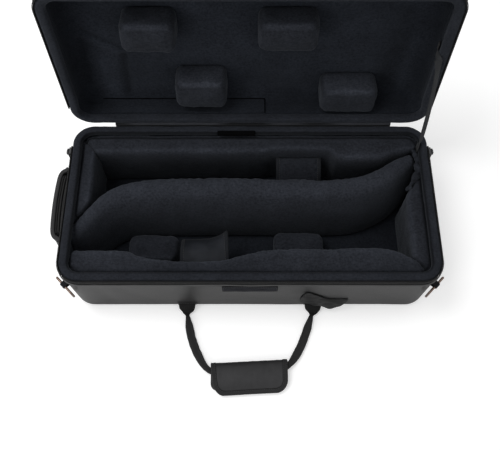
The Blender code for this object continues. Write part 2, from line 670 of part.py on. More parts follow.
def build_floor_and_ceiling(base, lid):
    outline = rounded_rectangle(
        INNER_HALF_LENGTH - GAP, INNER_HALF_WIDTH - GAP, INNER_CORNER - GAP, CORNER_STEPS
    )
    low = BASE_STACK + GAP
    rings = [[(x, y, z) for x, y in outline] for z in (low, FLOOR_TOP)]
    add_piece("base_floor_pad", loft_mesh("base_floor_pad", rings), "plush", base)
    outline = rounded_rectangle(
        LID_INNER_HALF_LENGTH - LID_EDGE_RADIUS / 2,
        LID_INNER_HALF_WIDTH - LID_EDGE_RADIUS / 2,
        LID_INNER_CORNER - LID_EDGE_RADIUS / 2,
        CORNER_STEPS,
    )
    levels = (CEILING_PAD_LOW, CEILING_PAD_LOW + CEILING_PAD_HEIGHT)
    rings = [[(x, y, z) for x, y in outline] for z in levels]
    add_piece("lid_ceiling_pad", loft_mesh("lid_ceiling_pad", rings), "plush", lid, (0, LID_MIDDLE_Y, 0))


def station_ring(station, shares, low, high, shrink=1):
    """One ring of a padded wall: shares run from its outer edge to its inner one and from its foot up."""
    outer = Vector((station[0] * INNER_HALF_LENGTH, station[1] * INNER_HALF_WIDTH, low))
    inner = Vector((station[2] * INNER_HALF_LENGTH, station[3] * INNER_HALF_WIDTH, low))
    middle = (outer + inner) / 2 + Vector((0, 0, (high - low) / 2))
    points = []
    for across, up in shares:
        point = outer.lerp(inner, across)
        point.z = low + (high - low) * up
        points.append(middle.lerp(point, shrink))
    return points


def moved_station(station, towards, share):
    return tuple(a + (b - a) * share for a, b in zip(station, towards))


def build_padded_wall(name, stations, shares, top, dips, base):
    """Lofts a coarse cage with drawn-in ends, then softens it with Subdivision."""
    first = moved_station(stations[0], stations[1], PAD_END_STEP_SHARE)
    last = moved_station(stations[-1], stations[-2], PAD_END_STEP_SHARE)
    rings = [station_ring(stations[0], shares, PAD_LOW, top - dips[0], PAD_END_SHARE)]
    rings.append(station_ring(first, shares, PAD_LOW, top - dips[0]))
    for station, dip in zip(stations[1:-1], dips[1:-1]):
        rings.append(station_ring(station, shares, PAD_LOW, top - dip))
    rings.append(station_ring(last, shares, PAD_LOW, top - dips[-1]))
    rings.append(station_ring(stations[-1], shares, PAD_LOW, top - dips[-1], PAD_END_SHARE))
    add_piece(name, loft_mesh(name, rings), "plush", base, soft=1)


def build_pads(base):
    walls = (
        ("pad_back", BACK_PAD_SHARES),
        ("pad_front", FRONT_PAD_SHARES),
        ("pad_left", LEFT_PAD_SHARES),
        ("pad_right", RIGHT_PAD_SHARES),
    )
    for name, stations in walls:
        level = [0] * len(stations)
        build_padded_wall(name, stations, PAD_PROFILE_SHARES, PAD_TOP, level, base)
    build_padded_wall(
        "s_divider", DIVIDER_SHARES, DIVIDER_PROFILE_SHARES, DIVIDER_TOP, DIVIDER_DIPS, base
    )


def build_block(name, low, high, foot, top, parent):
    """A foam block with a crowned top and drawn-in sides, from its foot on the wall to its free face."""
    half = (Vector(high) - Vector(low)) / 2
    middle = (Vector(high) + Vector(low)) / 2
    rings = []
    for up, size in BLOCK_LEVEL_SHARES:
        outline = rounded_rectangle(half.x * size, half.y * size, BLOCK_CORNER * size, 1)
        height = foot + (top - foot) * up
        rings.append([(middle.x + x, middle.y + y, height) for x, y in outline])
    mesh = loft_mesh(name, rings)
    bm = bmesh.new()
    bm.from_mesh(mesh)
    bpy.data.meshes.remove(mesh)
    face = min(bm.faces, key=lambda f: abs(f.calc_center_median().z - top))
    crown = top + math.copysign(BLOCK_CROWN, top - foot)
    made = bmesh.ops.poke(bm, faces=[face])
    made["verts"][0].co.z = crown
    add_piece(name, mesh_from_bmesh(name, bm), "plush", parent, soft=1)


def build_blocks(base, lid):
    for name, (left, right, near, far) in FLOOR_BLOCK_SHARES:
        low = (left * INNER_HALF_LENGTH, near * INNER_HALF_WIDTH)
        high = (right * INNER_HALF_LENGTH, far * INNER_HALF_WIDTH)
        build_block(name, low, high, PAD_LOW, FLOOR_BLOCK_TOP, base)
    for name, (left, right, near, far) in LID_BLOCK_SHARES:
        low = (left * LID_INNER_HALF_LENGTH, -HINGE_INSET - far * CASE_WIDTH)
        high = (right * LID_INNER_HALF_LENGTH, -HINGE_INSET - near * CASE_WIDTH)
        build_block(name, low, high, CEILING_PAD_LOW - GAP, LID_BLOCK_TOP, lid)


def build_neck_straps(base):
    """Each strap's frame sits on its sewn edge, so that it lifts about that edge."""
    place = (0, NECK_STRAP_FRONT_Y_SHARE * INNER_HALF_WIDTH, BASE_HEIGHT - NECK_STRAP_FRONT_DROP)
    axis = add_empty("neck_strap_front_axis", place, base)
    reach = NECK_STRAP_FRONT_REACH_SHARE * INNER_HALF_WIDTH
    low, high = [share * INNER_HALF_LENGTH for share in NECK_STRAP_FRONT_X_SHARES]
    rows = []
    for along, rise in NECK_STRAP_FRONT_SHARES:
        row = []
        for i in range(NECK_STRAP_COLUMNS + 1):
            across = i / NECK_STRAP_COLUMNS
            curl = along ** NECK_STRAP_CURL_ALONG * across ** NECK_STRAP_CURL_ACROSS
            y = reach * (along + NECK_STRAP_CURL_REACH_SHARE * curl)
            if along == 0:
                y -= reach * NECK_STRAP_SETBACK_SHARES[i]
            z = reach * (rise + NECK_STRAP_CURL_RISE_SHARE * curl)
            row.append((low + (high - low) * across, y, z))
        rows.append(row)
    add_sheet("neck_strap_front", rows, NECK_STRAP_WALL, "grip_vinyl", axis)
    place = (0, NECK_STRAP_REAR_Y_SHARE * INNER_HALF_WIDTH, BASE_HEIGHT - NECK_STRAP_REAR_DROP)
    axis = add_empty("neck_strap_rear_axis", place, base)
    reach = NECK_STRAP_REAR_REACH_SHARE * INNER_HALF_WIDTH
    low, high = [share * INNER_HALF_LENGTH for share in NECK_STRAP_REAR_X_SHARES]
    columns = [low + (high - low) * i / NECK_STRAP_COLUMNS for i in range(NECK_STRAP_COLUMNS + 1)]
    rows = []
    for along, rise in NECK_STRAP_REAR_SHARES:
        rows.append([(x, -reach * along, reach * rise) for x in columns])
    add_sheet("neck_strap_rear", rows, NECK_STRAP_WALL, "grip_vinyl", axis)


def webbing_rings():
    """The webbing lies flat at both ends, and folds into a narrow strand on its way to the grip."""
    left = [(-x, *rest) for x, *rest in HANDLE_STRAND_STATIONS]
    stations = [*left, *reversed(HANDLE_STRAND_STATIONS)]
    rings = []
    for i, (x, y, z, half_width, half_wall) in enumerate(stations):
        before = Vector(stations[max(i - 1, 0)][:3])
        after = Vector(stations[min(i + 1, len(stations) - 1)][:3])
        along = (after - before).normalized()
        across = Vector((-along.y, along.x, 0)).normalized()
        up = along.cross(across)
        middle = Vector((x, y, z))
        rings.append([middle + across * half_width * a + up * half_wall * b for a, b in STRAND_SHARES])
    return rings


def build_front_handle(base):
    axis = add_empty("front_handle_axis", (0, HANDLE_AXIS_Y, HANDLE_AXIS_Z), base)
    mesh = loft_mesh("front_handle_webbing", webbing_rings())
    add_piece("front_handle_webbing", mesh, "webbing", axis)
    rows = []
    for y, z in GRIP_PATH:
        half = GRIP_HALF_LENGTH
        if (y, z) == GRIP_PATH[-1]:
            half -= GRIP_CORNER
        rows.append([(half * (2 * k / GRIP_COLUMNS - 1), y, z) for k in range(GRIP_COLUMNS + 1)])
    add_sheet("front_handle_grip", rows, GRIP_WALL, "grip_vinyl", axis)
    front = -HALF_WIDTH - GAP
    for side, tag in ((-1, "left"), (1, "right")):
        middle = side * HANDLE_ANCHOR_X
        low = (middle - ANCHOR_HALF_WIDTH, front - ANCHOR_WALL, ANCHOR_LOW)
        high = (middle + ANCHOR_HALF_WIDTH, front, ANCHOR_TOP)
        name = "handle_anchor_" + tag
        add_piece(name, mesh_from_bmesh(name, block_bmesh(low, high)), "webbing", base)


def build_handle_flap(base):
    """The loose fold of cover that puckers over the right handle anchor."""
    rows = []
    for x, low, high, bulge in HANDLE_FLAP_ROWS:
        row = []
        for share, out in HANDLE_FLAP_SHARES:
            off = GAP + HANDLE_FLAP_WALL / 2 + bulge * out
            row.append((x, -HALF_WIDTH - off, low + (high - low) * share))
        rows.append(row)
    add_sheet("handle_flap", rows, HANDLE_FLAP_WALL, "outer_vinyl", base)


def build_end_handle(base):
    wall = -HALF_LENGTH - GAP
    axis = add_empty("end_handle_place", (wall, END_HANDLE_Y, END_HANDLE_Z), base)
    half = END_HANDLE_HEIGHT / 2
    low = (-END_PLATE_WALL, -END_PLATE_HALF, -half)
    high = (0, END_PLATE_HALF, half)
    name = "end_handle_plate"
    add_piece(name, mesh_from_bmesh(name, block_bmesh(low, high)), "outer_vinyl", axis)
    for sign, tag in ((-1, "front"), (1, "rear")):
        middle = sign * (END_PLATE_HALF - END_BLOCK_LENGTH / 2)
        start = -END_PLATE_WALL - GAP
        low = (start - END_BLOCK_RISE, middle - END_BLOCK_LENGTH / 2, -half)
        high = (start, middle + END_BLOCK_LENGTH / 2, half)
        name = "end_handle_block_" + tag
        add_piece(name, mesh_from_bmesh(name, block_bmesh(low, high)), "webbing", axis)
    section = [(x * END_HANDLE_WALL / 2, y * half) for x, y in STRAP_EDGE_SHARES]
    path = [(-out, y, 0) for y, out in END_HANDLE_PATH]
    name = "end_handle_strap"
    add_piece(name, sweep_mesh(name, path, section, False), "outer_vinyl", axis)


def ring_path():
    """A D-shaped ring hanging in the plane of its tab, with its straight bar on the hinge axis."""
    points = [(-RING_HALF_WIDTH, 0, 0), (RING_HALF_WIDTH, 0, 0)]
    straight = RING_DROP - RING_HALF_WIDTH
    for i in range(RING_BEND_STEPS + 1):
        angle = math.pi * i / RING_BEND_STEPS
        x = RING_HALF_WIDTH * math.cos(angle)
        z = -straight - RING_HALF_WIDTH * math.sin(angle)
        points.append((x, 0, z))
    return points


def build_corner_rings(base):
    for side, tag in ((-1, "left"), (1, "right")):
        corner = (side * (HALF_LENGTH - CORNER_RADIUS), -HALF_WIDTH + CORNER_RADIUS, 0)
        turn = side * math.pi / 4
        place = add_empty("d_ring_place_" + tag, corner, base, (0, 0, turn))
        low = (-TAB_HALF_WIDTH, -TAB_OUT, RING_AXIS_Z)
        high = (TAB_HALF_WIDTH, -TAB_IN, TAB_TOP)
        name = "d_ring_tab_" + tag
        tab = add_piece(name, mesh_from_bmesh(name, block_bmesh(low, high)), "webbing", place)
        eye = cylinder_bmesh(TAB_EYE_RADIUS, TAB_HALF_WIDTH, EYE_SIDES, "X")
        combine(tab, add_cutter("eye_" + tag, eye, place, (0, -RING_AXIS_OUT, RING_AXIS_Z)), "UNION")
        wall = cylinder_bmesh(CORNER_RADIUS + GAP, BASE_HEIGHT, CORNER_CUT_SIDES, "Z")
        combine(tab, add_cutter("corner_" + tag, wall, place), "DIFFERENCE")
        bore = cylinder_bmesh(TAB_BORE_RADIUS, BORE_CUT_HALF, EYE_SIDES, "X")
        combine(tab, add_cutter("bore_" + tag, bore, place, (0, -RING_AXIS_OUT, RING_AXIS_Z)), "DIFFERENCE")
        axis = add_empty("d_ring_axis_" + tag, (0, -RING_AXIS_OUT, RING_AXIS_Z), place)
        name = "d_ring_" + tag
        add_piece(name, wire_mesh(name, ring_path(), RING_WIRE, True), "ring_metal", axis)


def slider_bmesh():
    """The slider's C-shaped body, open towards the coil, in its own frame with x outwards."""
    low = SLIDER_LOW - SLIDER_MIDDLE_Z
    top = SLIDER_TOP - SLIDER_MIDDLE_Z
    outline = (
        (SLIDER_LIP_START, low), (SLIDER_PLATE_OUT, low), (SLIDER_PLATE_OUT, top), (SLIDER_LIP_START, top),
        (SLIDER_LIP_START, top - SLIDER_LIP), (SLIDER_PLATE_IN, top - SLIDER_LIP),
        (SLIDER_PLATE_IN, low + SLIDER_LIP), (SLIDER_LIP_START, low + SLIDER_LIP),
    )
    bm = bmesh.new()
    face = bm.faces.new([bm.verts.new((x, -SLIDER_LENGTH / 2, z)) for x, z in outline])
    made = bmesh.ops.extrude_face_region(bm, geom=[face])
    moved = [v for v in made["geom"] if isinstance(v, bmesh.types.BMVert)]
    bmesh.ops.translate(bm, vec=(0, SLIDER_LENGTH, 0), verts=moved)
    return bm


def build_sliders(base):
    for side, tag in ((-1, "left"), (1, "right")):
        turn = 0 if side == 1 else math.pi
        place = (side * HALF_LENGTH, SLIDER_Y, SLIDER_MIDDLE_Z)
        axis = add_empty("slider_place_" + tag, place, base, (0, 0, turn))
        name = "zipper_slider_" + tag
        body = add_piece(name, mesh_from_bmesh(name, slider_bmesh()), "slider_metal", axis)
        bm = bmesh.new()
        for sign in (-1, 1):
            near = sign * BRIDGE_HALF - BRIDGE_LEG / 2
            far = sign * BRIDGE_HALF + BRIDGE_LEG / 2
            low = (SLIDER_PLATE_OUT - BRIDGE_LEG / 2, near, -BRIDGE_LEG_HALF_HEIGHT)
            high = (BRIDGE_LEG_END, far, BRIDGE_LEG_HALF_HEIGHT)
            part = mesh_from_bmesh("leg", block_bmesh(low, high))
            bm.from_mesh(part)
            bpy.data.meshes.remove(part)
        combine(body, add_cutter("legs_" + tag, bm, axis), "UNION")
        bar = cylinder_bmesh(BRIDGE_RADIUS, BRIDGE_HALF, EYE_SIDES, "Y")
        combine(body, add_cutter("bar_" + tag, bar, axis, (BRIDGE_OUT, 0, 0)), "UNION")
        build_pull(axis, tag)


def build_pull(slider_axis, tag):
    axis = add_empty("pull_axis_" + tag, (BRIDGE_OUT, 0, 0), slider_axis)
    low = (-PULL_WALL / 2, -PULL_HALF_WIDTH, -PULL_LENGTH)
    high = (PULL_WALL / 2, PULL_HALF_WIDTH, -PULL_BORE_RADIUS - PULL_EDGE)
    name = "zipper_pull_" + tag
    bm = block_bmesh(low, high)
    narrow = [v for v in bm.verts if v.co.z > -PULL_LENGTH / 2]
    for vert in narrow:
        vert.co.y = math.copysign(PULL_EYE_HALF, vert.co.y)
    pull = add_piece(name, mesh_from_bmesh(name, bm), "slider_metal", axis)
    eye = cylinder_bmesh(PULL_EYE_RADIUS, PULL_EYE_HALF, EYE_SIDES, "Y")
    combine(pull, add_cutter("pull_eye_" + tag, eye, axis), "UNION")
    bore = cylinder_bmesh(PULL_BORE_RADIUS, BORE_CUT_HALF, EYE_SIDES, "Y")
    combine(pull, add_cutter("pull_bore_" + tag, bore, axis), "DIFFERENCE")


def build_stay_strap(base, lid):
    points = [Vector((HALF_LENGTH - x, HINGE_Y + y, HINGE_Z + z)) for x, y, z in STAY_PATH]
    rings = []
    for i, (middle, width) in enumerate(zip(points, STAY_WIDTH_SHARES)):
        before = points[max(i - 1, 0)]
        after = points[min(i + 1, len(points) - 1)]
        along = (after - before).normalized()
        across = Vector(width)
        across = (across - along * across.dot(along)).normalized()
        face = along.cross(across)
        corners = ((1, 1), (-1, 1), (-1, -1), (1, -1))
        rings.append([middle + across * STAY_HALF_WIDTH * a + face * STAY_HALF_WALL * b for a, b in corners])
    add_piece("stay_strap", loft_mesh("stay_strap", rings), "webbing", base)
    near = -HINGE_INSET - STAY_LID_DISTANCE
    low = (STAY_X - STAY_PATCH_WALL, near - STAY_PATCH_HALF, STAY_PATCH_LOW)
    high = (STAY_X, near + STAY_PATCH_HALF, STAY_PATCH_HIGH)
    name = "stay_strap_patch"
    add_piece(name, mesh_from_bmesh(name, block_bmesh(low, high)), "webbing", lid)


def build_trims(base, lid):
    front = -HALF_WIDTH - GAP
    low = (-FRONT_PATCH_HALF, front - FRONT_PATCH_WALL, FRONT_PATCH_LOW)
    high = (FRONT_PATCH_HALF, front, FRONT_PATCH_TOP)
    add_piece("front_patch", mesh_from_bmesh("front_patch", block_bmesh(low, high)), "loop_strip", base)
    middle_y = HALF_WIDTH - ROLL_INSET - ROLL_WIDTH / 2
    middle_z = ROLL_LOW + ROLL_HEIGHT / 2
    clear = GAP + RIM_TAG_WALL
    rows = []
    for degrees in RIM_TAG_ANGLES:
        angle = math.radians(degrees)
        out = math.copysign(abs(math.cos(angle)) ** ROLL_POWER, math.cos(angle)) * ROLL_WIDTH / 2
        up = abs(math.sin(angle)) ** ROLL_POWER * ROLL_HEIGHT / 2
        y = middle_y + out + clear * math.cos(angle)
        z = middle_z + up + clear * math.sin(angle)
        rows.append([(x, y, z) for x in RIM_TAG_X])
    add_sheet("rear_rim_tag", rows, RIM_TAG_WALL, "grip_vinyl", base)
    near = -HINGE_INSET - LID_STACK - GAP
    left, right = LID_FLAP_X_SHARES
    low = (left * LID_INNER_HALF_LENGTH, near - LID_FLAP_WALL, LID_FLAP_LOW)
    high = (right * LID_INNER_HALF_LENGTH, near, LID_FLAP_HIGH)
    add_piece("lid_flap_panel", mesh_from_bmesh("lid_flap_panel", block_bmesh(low, high)), "plush", lid)


clear_scene()
PARTS = make_collection("double_trumpet_case")
CUTTERS = make_collection("cutters")
CUTTERS.hide_render = True
BASE = add_empty("base_origin", (0, 0, 0))
LID = add_empty("lid_hinge_axis", (0, HINGE_Y, HINGE_Z), BASE, (-LID_OPEN_ANGLE, 0, 0))
build_shells(BASE, LID)
build_rolls(BASE, LID)
build_zipper(BASE, LID)
build_hinge_strip(BASE)
build_floor_and_ceiling(BASE, LID)
build_pads(BASE)
build_blocks(BASE, LID)
build_neck_straps(BASE)
build_front_handle(BASE)
build_handle_flap(BASE)
build_end_handle(BASE)
build_corner_rings(BASE)
build_sliders(BASE)
build_stay_strap(BASE, LID)
build_trims(BASE, LID)
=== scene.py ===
"""Looks of the double trumpet case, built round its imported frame. Metres, +Z up."""

import math

import bpy
import numpy as np
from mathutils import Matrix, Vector


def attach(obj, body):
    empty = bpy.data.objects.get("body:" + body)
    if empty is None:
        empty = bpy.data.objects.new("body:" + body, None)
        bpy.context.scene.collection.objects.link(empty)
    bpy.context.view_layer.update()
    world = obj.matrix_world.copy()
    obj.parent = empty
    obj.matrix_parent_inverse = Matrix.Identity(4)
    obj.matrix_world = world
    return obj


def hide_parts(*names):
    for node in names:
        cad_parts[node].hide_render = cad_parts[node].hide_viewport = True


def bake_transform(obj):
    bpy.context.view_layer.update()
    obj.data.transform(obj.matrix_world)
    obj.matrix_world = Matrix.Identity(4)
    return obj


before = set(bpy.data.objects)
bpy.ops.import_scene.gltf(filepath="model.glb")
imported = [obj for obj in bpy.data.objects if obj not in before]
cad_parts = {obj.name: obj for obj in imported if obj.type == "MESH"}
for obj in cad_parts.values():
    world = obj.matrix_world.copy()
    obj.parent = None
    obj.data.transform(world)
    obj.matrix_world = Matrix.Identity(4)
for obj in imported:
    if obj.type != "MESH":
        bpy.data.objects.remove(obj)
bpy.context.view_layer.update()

TURN = 2 * math.pi


def new_object(name, data):
    made = bpy.data.objects.new(name, data)
    bpy.context.scene.collection.objects.link(made)
    return made


def add_camera(lens, shift, place, tilt):
    data = bpy.data.cameras.new("camera")
    data.sensor_width = 36.0
    data.lens = lens
    data.shift_y = shift
    camera = new_object("camera", data)
    camera.location = place
    camera.rotation_euler = (math.radians(tilt), 0, 0)
    bpy.context.scene.camera = camera


add_camera(45.6, -0.0502, (0, -0.40915, 1.02070), 24.61)

# Case
BODIES = ("base", "lid")
HALF_LENGTH = 0.2875
HALF_WIDTH = 0.1330
RIM_HEIGHT = 0.1300
CORNER = 0.0340
HINGE_Y = 0.1335
HINGE_Z = 0.1306
LID_TURN = math.radians(97.5)
GAP = 0.0003  # between the cover and what is sewn to it
ROLL_INSET = 0.0091
ROLL_HALF_WIDTH = 0.0071
ROLL_HALF_HEIGHT = 0.0065
ROLL_MIDDLE = 0.1235
LID_ROLL_MIDDLE = 0.0069
PAD_FOOT = 0.0152


# Surfaces


def distances(line):
    """How far along a line each of its points lies."""
    return np.concatenate([[0], np.cumsum(np.linalg.norm(np.diff(line, axis=0), axis=1))])


def around(count):
    return np.linspace(0, TURN, count, endpoint=False)


def quarter(count):
    return np.linspace(0, math.pi / 2, count)


def smooth_line(points, count, closed=False):
    """A cubic through the points, each slope taken from the two neighbours, at even steps of chord length."""
    p = np.asarray(points, float)
    if closed:
        p = np.vstack([p[-1:], p, p[:2]])
    else:
        p = np.vstack([2 * p[0] - p[1], p, 2 * p[-1] - p[-2]])
    t = distances(p)
    slope = (p[2:] - p[:-2]) / (t[2:] - t[:-2])[:, None]
    q, s = p[1:-1], t[1:-1]
    where = np.linspace(s[0], s[-1], count + 1)[:-1] if closed else np.linspace(s[0], s[-1], count)
    i = np.clip(np.searchsorted(s, where, side="right") - 1, 0, len(s) - 2)
    h = (s[i + 1] - s[i])[:, None]
    x = (where - s[i])[:, None] / h
    return (
        q[i] * (1 + 2 * x) * (1 - x) ** 2
        + slope[i] * h * x * (1 - x) ** 2
        + q[i + 1] * x * x * (3 - 2 * x)
        + slope[i + 1] * h * x * x * (x - 1)
    )


def unit(v):
    return v / np.maximum(np.linalg.norm(v, axis=-1, keepdims=True), 1e-12)


def step_up(x, low, high):
    """0 below low, 1 above high, with a smooth rise between."""
    t = np.clip((x - low) / (high - low), 0, 1)
    return t * t * (3 - 2 * t)


def rounded(t):
    """The rise of a quarter circle, from 0 at 0 to 1 at 1 and beyond."""
    return np.sqrt(1 - (1 - np.clip(t, 0, 1)) ** 2)


def bell(x, middle, width):
    return np.exp(-(((x - middle) / width) ** 2))


def folds(points, size, seed, stretch=(1, 1, 1), waves=18):
    """A sum of seeded waves about size long, in all directions, between about -1 and 1."""
    rng = np.random.default_rng(seed)
    total = 0
    for _ in range(waves):
        direction = unit(rng.normal(size=3)) * np.array(stretch)
        length = size * rng.uniform(0.6, 1.7)
        total = total + np.sin(points @ direction * (TURN / length) + rng.uniform(0, TURN))
    return total / (1.5 * math.sqrt(waves / 2))


def crease(points, start, end, width):
    """1 on the segment from start to end, falling off as a bell of that width around it."""
    a, b = np.array(start, float), np.array(end, float)
    t = np.clip((points - a) @ (b - a) / np.dot(b - a, b - a), 0, 1)
    gap = np.linalg.norm(points - (a + t[..., None] * (b - a)), axis=-1)
    return bell(gap, 0, width)


def dented(points, dents):
    """The summed depth of creases given as (start, end, width, depth)."""
    return sum(depth * crease(points, start, end, width) for start, end, width, depth in dents)


def normals_of(p, wrap_u, wrap_v):
    """Unit normals of a grid from the cross product of its two central differences."""
    du = np.roll(p, -1, 0) - np.roll(p, 1, 0) if wrap_u else np.gradient(p, axis=0)
    dv = np.roll(p, -1, 1) - np.roll(p, 1, 1) if wrap_v else np.gradient(p, axis=1)
    return unit(np.cross(du, dv))


def outward_normals(p, wrap_u, wrap_v):
    """Normals of a grid that closes round a volume, turned to its outside."""
    verts, faces, _ = patch(p - p.reshape(-1, 3).mean(0), wrap_u, wrap_v, outward=False)
    return normals_of(p, wrap_u, wrap_v) * (1 if volume(verts, faces) > 0 else -1)


def facing(p, way=(0, 0, 1)):
    """Normals of an open sheet, turned so that on the whole they face that way."""
    n = normals_of(p, False, False)
    return n * np.sign((n @ np.array(way)).sum())


def pushed(p, lift, wrap_u=False):
    """A closed surface moved out along its own normals, by lift at each point."""
    return p + outward_normals(p, wrap_u, True) * lift[..., None]


def run_lengths(p, axis, wrap):
    """Mean distance travelled along one axis of a grid, with one more value where it closes."""
    q = np.concatenate([p, np.take(p, [0], axis=axis)], axis=axis) if wrap else p
    gaps = np.linalg.norm(np.diff(q, axis=axis), axis=-1).mean(axis=1 - axis)
    return np.concatenate([[0], np.cumsum(gaps)])


def patch(p, wrap_u=False, wrap_v=False, ends=None, outward=True):
    """Quads over a grid of points, with a UV map in metres. Ends: "fan" closes both ends of a tube with a middle
    point, "ladder" joins the upper and the lower half of each end ring. Outward turns a closed shape right side out."""
    nu, nv = p.shape[:2]
    index = np.arange(nu * nv).reshape(nu, nv)
    iu = np.append(np.arange(nu), 0) if wrap_u else np.arange(nu)
    iv = np.append(np.arange(nv), 0) if wrap_v else np.arange(nv)
    g = index[np.ix_(iu, iv)]
    faces = np.stack([g[:-1, :-1], g[1:, :-1], g[1:, 1:], g[:-1, 1:]], -1).reshape(-1, 4)
    u, v = np.meshgrid(run_lengths(p, 0, wrap_u), run_lengths(p, 1, wrap_v), indexing="ij")
    uv = np.stack([u, v], -1)
    uvs = np.stack([uv[:-1, :-1], uv[1:, :-1], uv[1:, 1:], uv[:-1, 1:]], -2).reshape(-1, 4, 2)
    verts = p.reshape(-1, 3)
    faces, uvs = list(map(tuple, faces.tolist())), list(uvs)
    for row, turn in ((0, 1), (nu - 1, -1)) if ends else ():
        ring = index[row][::turn]
        flat = np.array([[u[row, 0], x] for x in v[row, :nv]])[::turn]
        if ends == "fan":
            middle = len(verts)
            verts = np.vstack([verts, p[row].mean(0)])
            for a in range(nv):
                b = (a + 1) % nv
                faces.append((middle, int(ring[a]), int(ring[b])))
                uvs.append(np.array([flat[a], flat[a], flat[b]]))
        else:
            for a in range(nv // 2 - 1):
                b = nv - 1 - a
                quad = (a, a + 1, b - 1, b)
                faces.append(tuple(int(ring[k]) for k in quad))
                uvs.append(flat[list(quad)])
    if outward and volume(verts, faces) < 0:
        faces = [f[::-1] for f in faces]
        uvs = [np.array(x)[::-1] for x in uvs]
    return verts, faces, uvs


def volume(verts, faces):
    """Six times the signed volume, from the fans of all faces."""
    v = np.asarray(verts)
    quads = np.array([f if len(f) == 4 else (*f, f[2]) for f in faces])
    a, b, c, d = (v[quads[:, k]] for k in range(4))
    return float((np.cross(a, b) * c).sum() + (np.cross(a, c) * d).sum())


def sealed(p, ends="fan"):
    return [patch(p, wrap_v=True, ends=ends)]


def doubled(top, low=None):
    """One closed grid from two sheets, the second run through backwards. A single sheet of values serves both."""
    return np.concatenate([top, (top if low is None else low)[:, ::-1]], axis=1)


def make_piece(name, patches, finish, body=None, replaces=(), painted_light_and_tone=None):
    """One object from one or more patches, riding on its body. Its attribute of painted light and shade, with some
    random tone, lightens or darkens the colour point by point.
    """
    verts, faces, uvs, base = [], [], [], 0
    for v, f, t in patches:
        verts.append(v)
        faces += [tuple(i + base for i in face) for face in f]
        uvs += t
        base += len(v)
    mesh = bpy.data.meshes.new(name)
    mesh.from_pydata(np.vstack(verts).tolist(), [], faces)
    layer = mesh.uv_layers.new(name="surface")
    layer.data.foreach_set("uv", np.vstack(uvs).astype(np.float32).ravel())
    mesh.polygons.foreach_set("use_smooth", np.ones(len(faces), bool))
    if painted_light_and_tone is not None:
        wear_and_painted_light = np.zeros(base)
        wear_and_painted_light[: painted_light_and_tone.size] = painted_light_and_tone.ravel()
        mesh.attributes.new("painted_light_and_tone", "FLOAT", "POINT").data.foreach_set("value", wear_and_painted_light.astype(np.float32))
    mesh.materials.append(finish)
    mesh.update()
    piece = new_object(name, mesh)
    if body:
        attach(piece, body)
    if replaces:
        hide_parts(*replaces)
    return piece


def circles(along, up, sides):
    """Unit circles square to the given directions, and the way in each of them that lies furthest along up."""
    across = unit(np.cross(np.broadcast_to(up, along.shape), along))
    rise = np.cross(along, across)
    angle = around(sides)[None, :, None]
    return across[:, None] * np.cos(angle) + rise[:, None] * np.sin(angle), rise


def tube(path, radius, up, sides, closed=False):
    """A round section carried along a path."""
    ahead = np.roll(path, -1, 0) - np.roll(path, 1, 0) if closed else np.gradient(path, axis=0)
    ring, _ = circles(unit(ahead), up, sides)
    return patch(path[:, None] + ring * radius, wrap_u=closed, wrap_v=True, ends=None if closed else "fan")


SLAB_RIM = 0.25  # share of a slab's thickness that is left at its very edge


def slab(middle, half, edge, out=None):
    """A padded or flat sheet: both faces stand half off the middle surface and round off towards its edges."""
    n = normals_of(middle, False, False) if out is None else out
    u, v = run_lengths(middle, 0, False), run_lengths(middle, 1, False)
    near = np.minimum.outer(np.minimum(u, u[-1] - u), np.minimum(v, v[-1] - v))
    off = n * (np.asarray(half) * (SLAB_RIM + (1 - SLAB_RIM) * rounded(near / edge)))[..., None]
    return patch(doubled(middle + off, middle - off), wrap_v=True, ends="ladder")


def copies(p):
    """Many small closed shapes in one patch: p holds a grid for each, and all of them close with fans."""
    verts, faces, uvs = patch(p[0], wrap_v=True, ends="fan")
    caps = np.stack([p[:, 0].mean(1), p[:, -1].mean(1)], 1)
    every = np.concatenate([p.reshape(len(p), -1, 3), caps], 1)
    faces = [tuple(i + k * len(verts) for i in f) for k in range(len(p)) for f in faces]
    return every.reshape(-1, 3), faces, uvs * len(p)


# A stitch: places along it, and its girth at each
SPINDLE = np.array([(-0.5, 0.25), (-0.36, 0.8), (0, 1), (0.36, 0.8), (0.5, 0.25)])


def stitches(path, up, pitch=0.0036, length=0.0027, radius=0.00038, reach=0.0004):
    """Short threads that lie along a path: small closed spindles, one at each pitch, each of them headed as the path
    is within reach of its middle."""
    t = distances(path)
    count = max(int(t[-1] / pitch), 1)
    where = (np.arange(count) + 0.5) * t[-1] / count
    behind, at, ahead = (
        np.stack([np.interp(where + off, t, path[:, k]) for k in range(3)], -1) for off in (-reach, 0, reach)
    )
    along = unit(ahead - behind)
    ring, rise = circles(along, up, 6)
    places, girth = SPINDLE.T
    sink = rise[:, None] * (girth[None, :, None] - 1) * radius
    line = at[:, None] + along[:, None] * places[None, :, None] * length + sink
    return copies(line[:, :, None] + ring[:, None] * (girth * radius)[None, :, None, None])


def bent(x, power):
    return np.sign(x) * np.abs(x) ** power


def rounded_section(half_a, half_b, power=0.5, count=20):
    """A closed superellipse about the origin, as (a, b)."""
    t = around(count)
    return np.stack([bent(np.cos(t), power) * half_a, bent(np.sin(t), power) * half_b], -1)


def carried(path, across, section):
    """A section carried along a path; across gives the direction of its first axis at each point."""
    along = unit(np.gradient(path, axis=0))
    a = unit(across - along * (across * along).sum(-1, keepdims=True))
    b = np.cross(along, a)
    s = section if section.ndim == 3 else np.broadcast_to(section, (len(path), *section.shape))
    return path[:, None] + a[:, None] * s[..., :1] + b[:, None] * s[..., 1:]


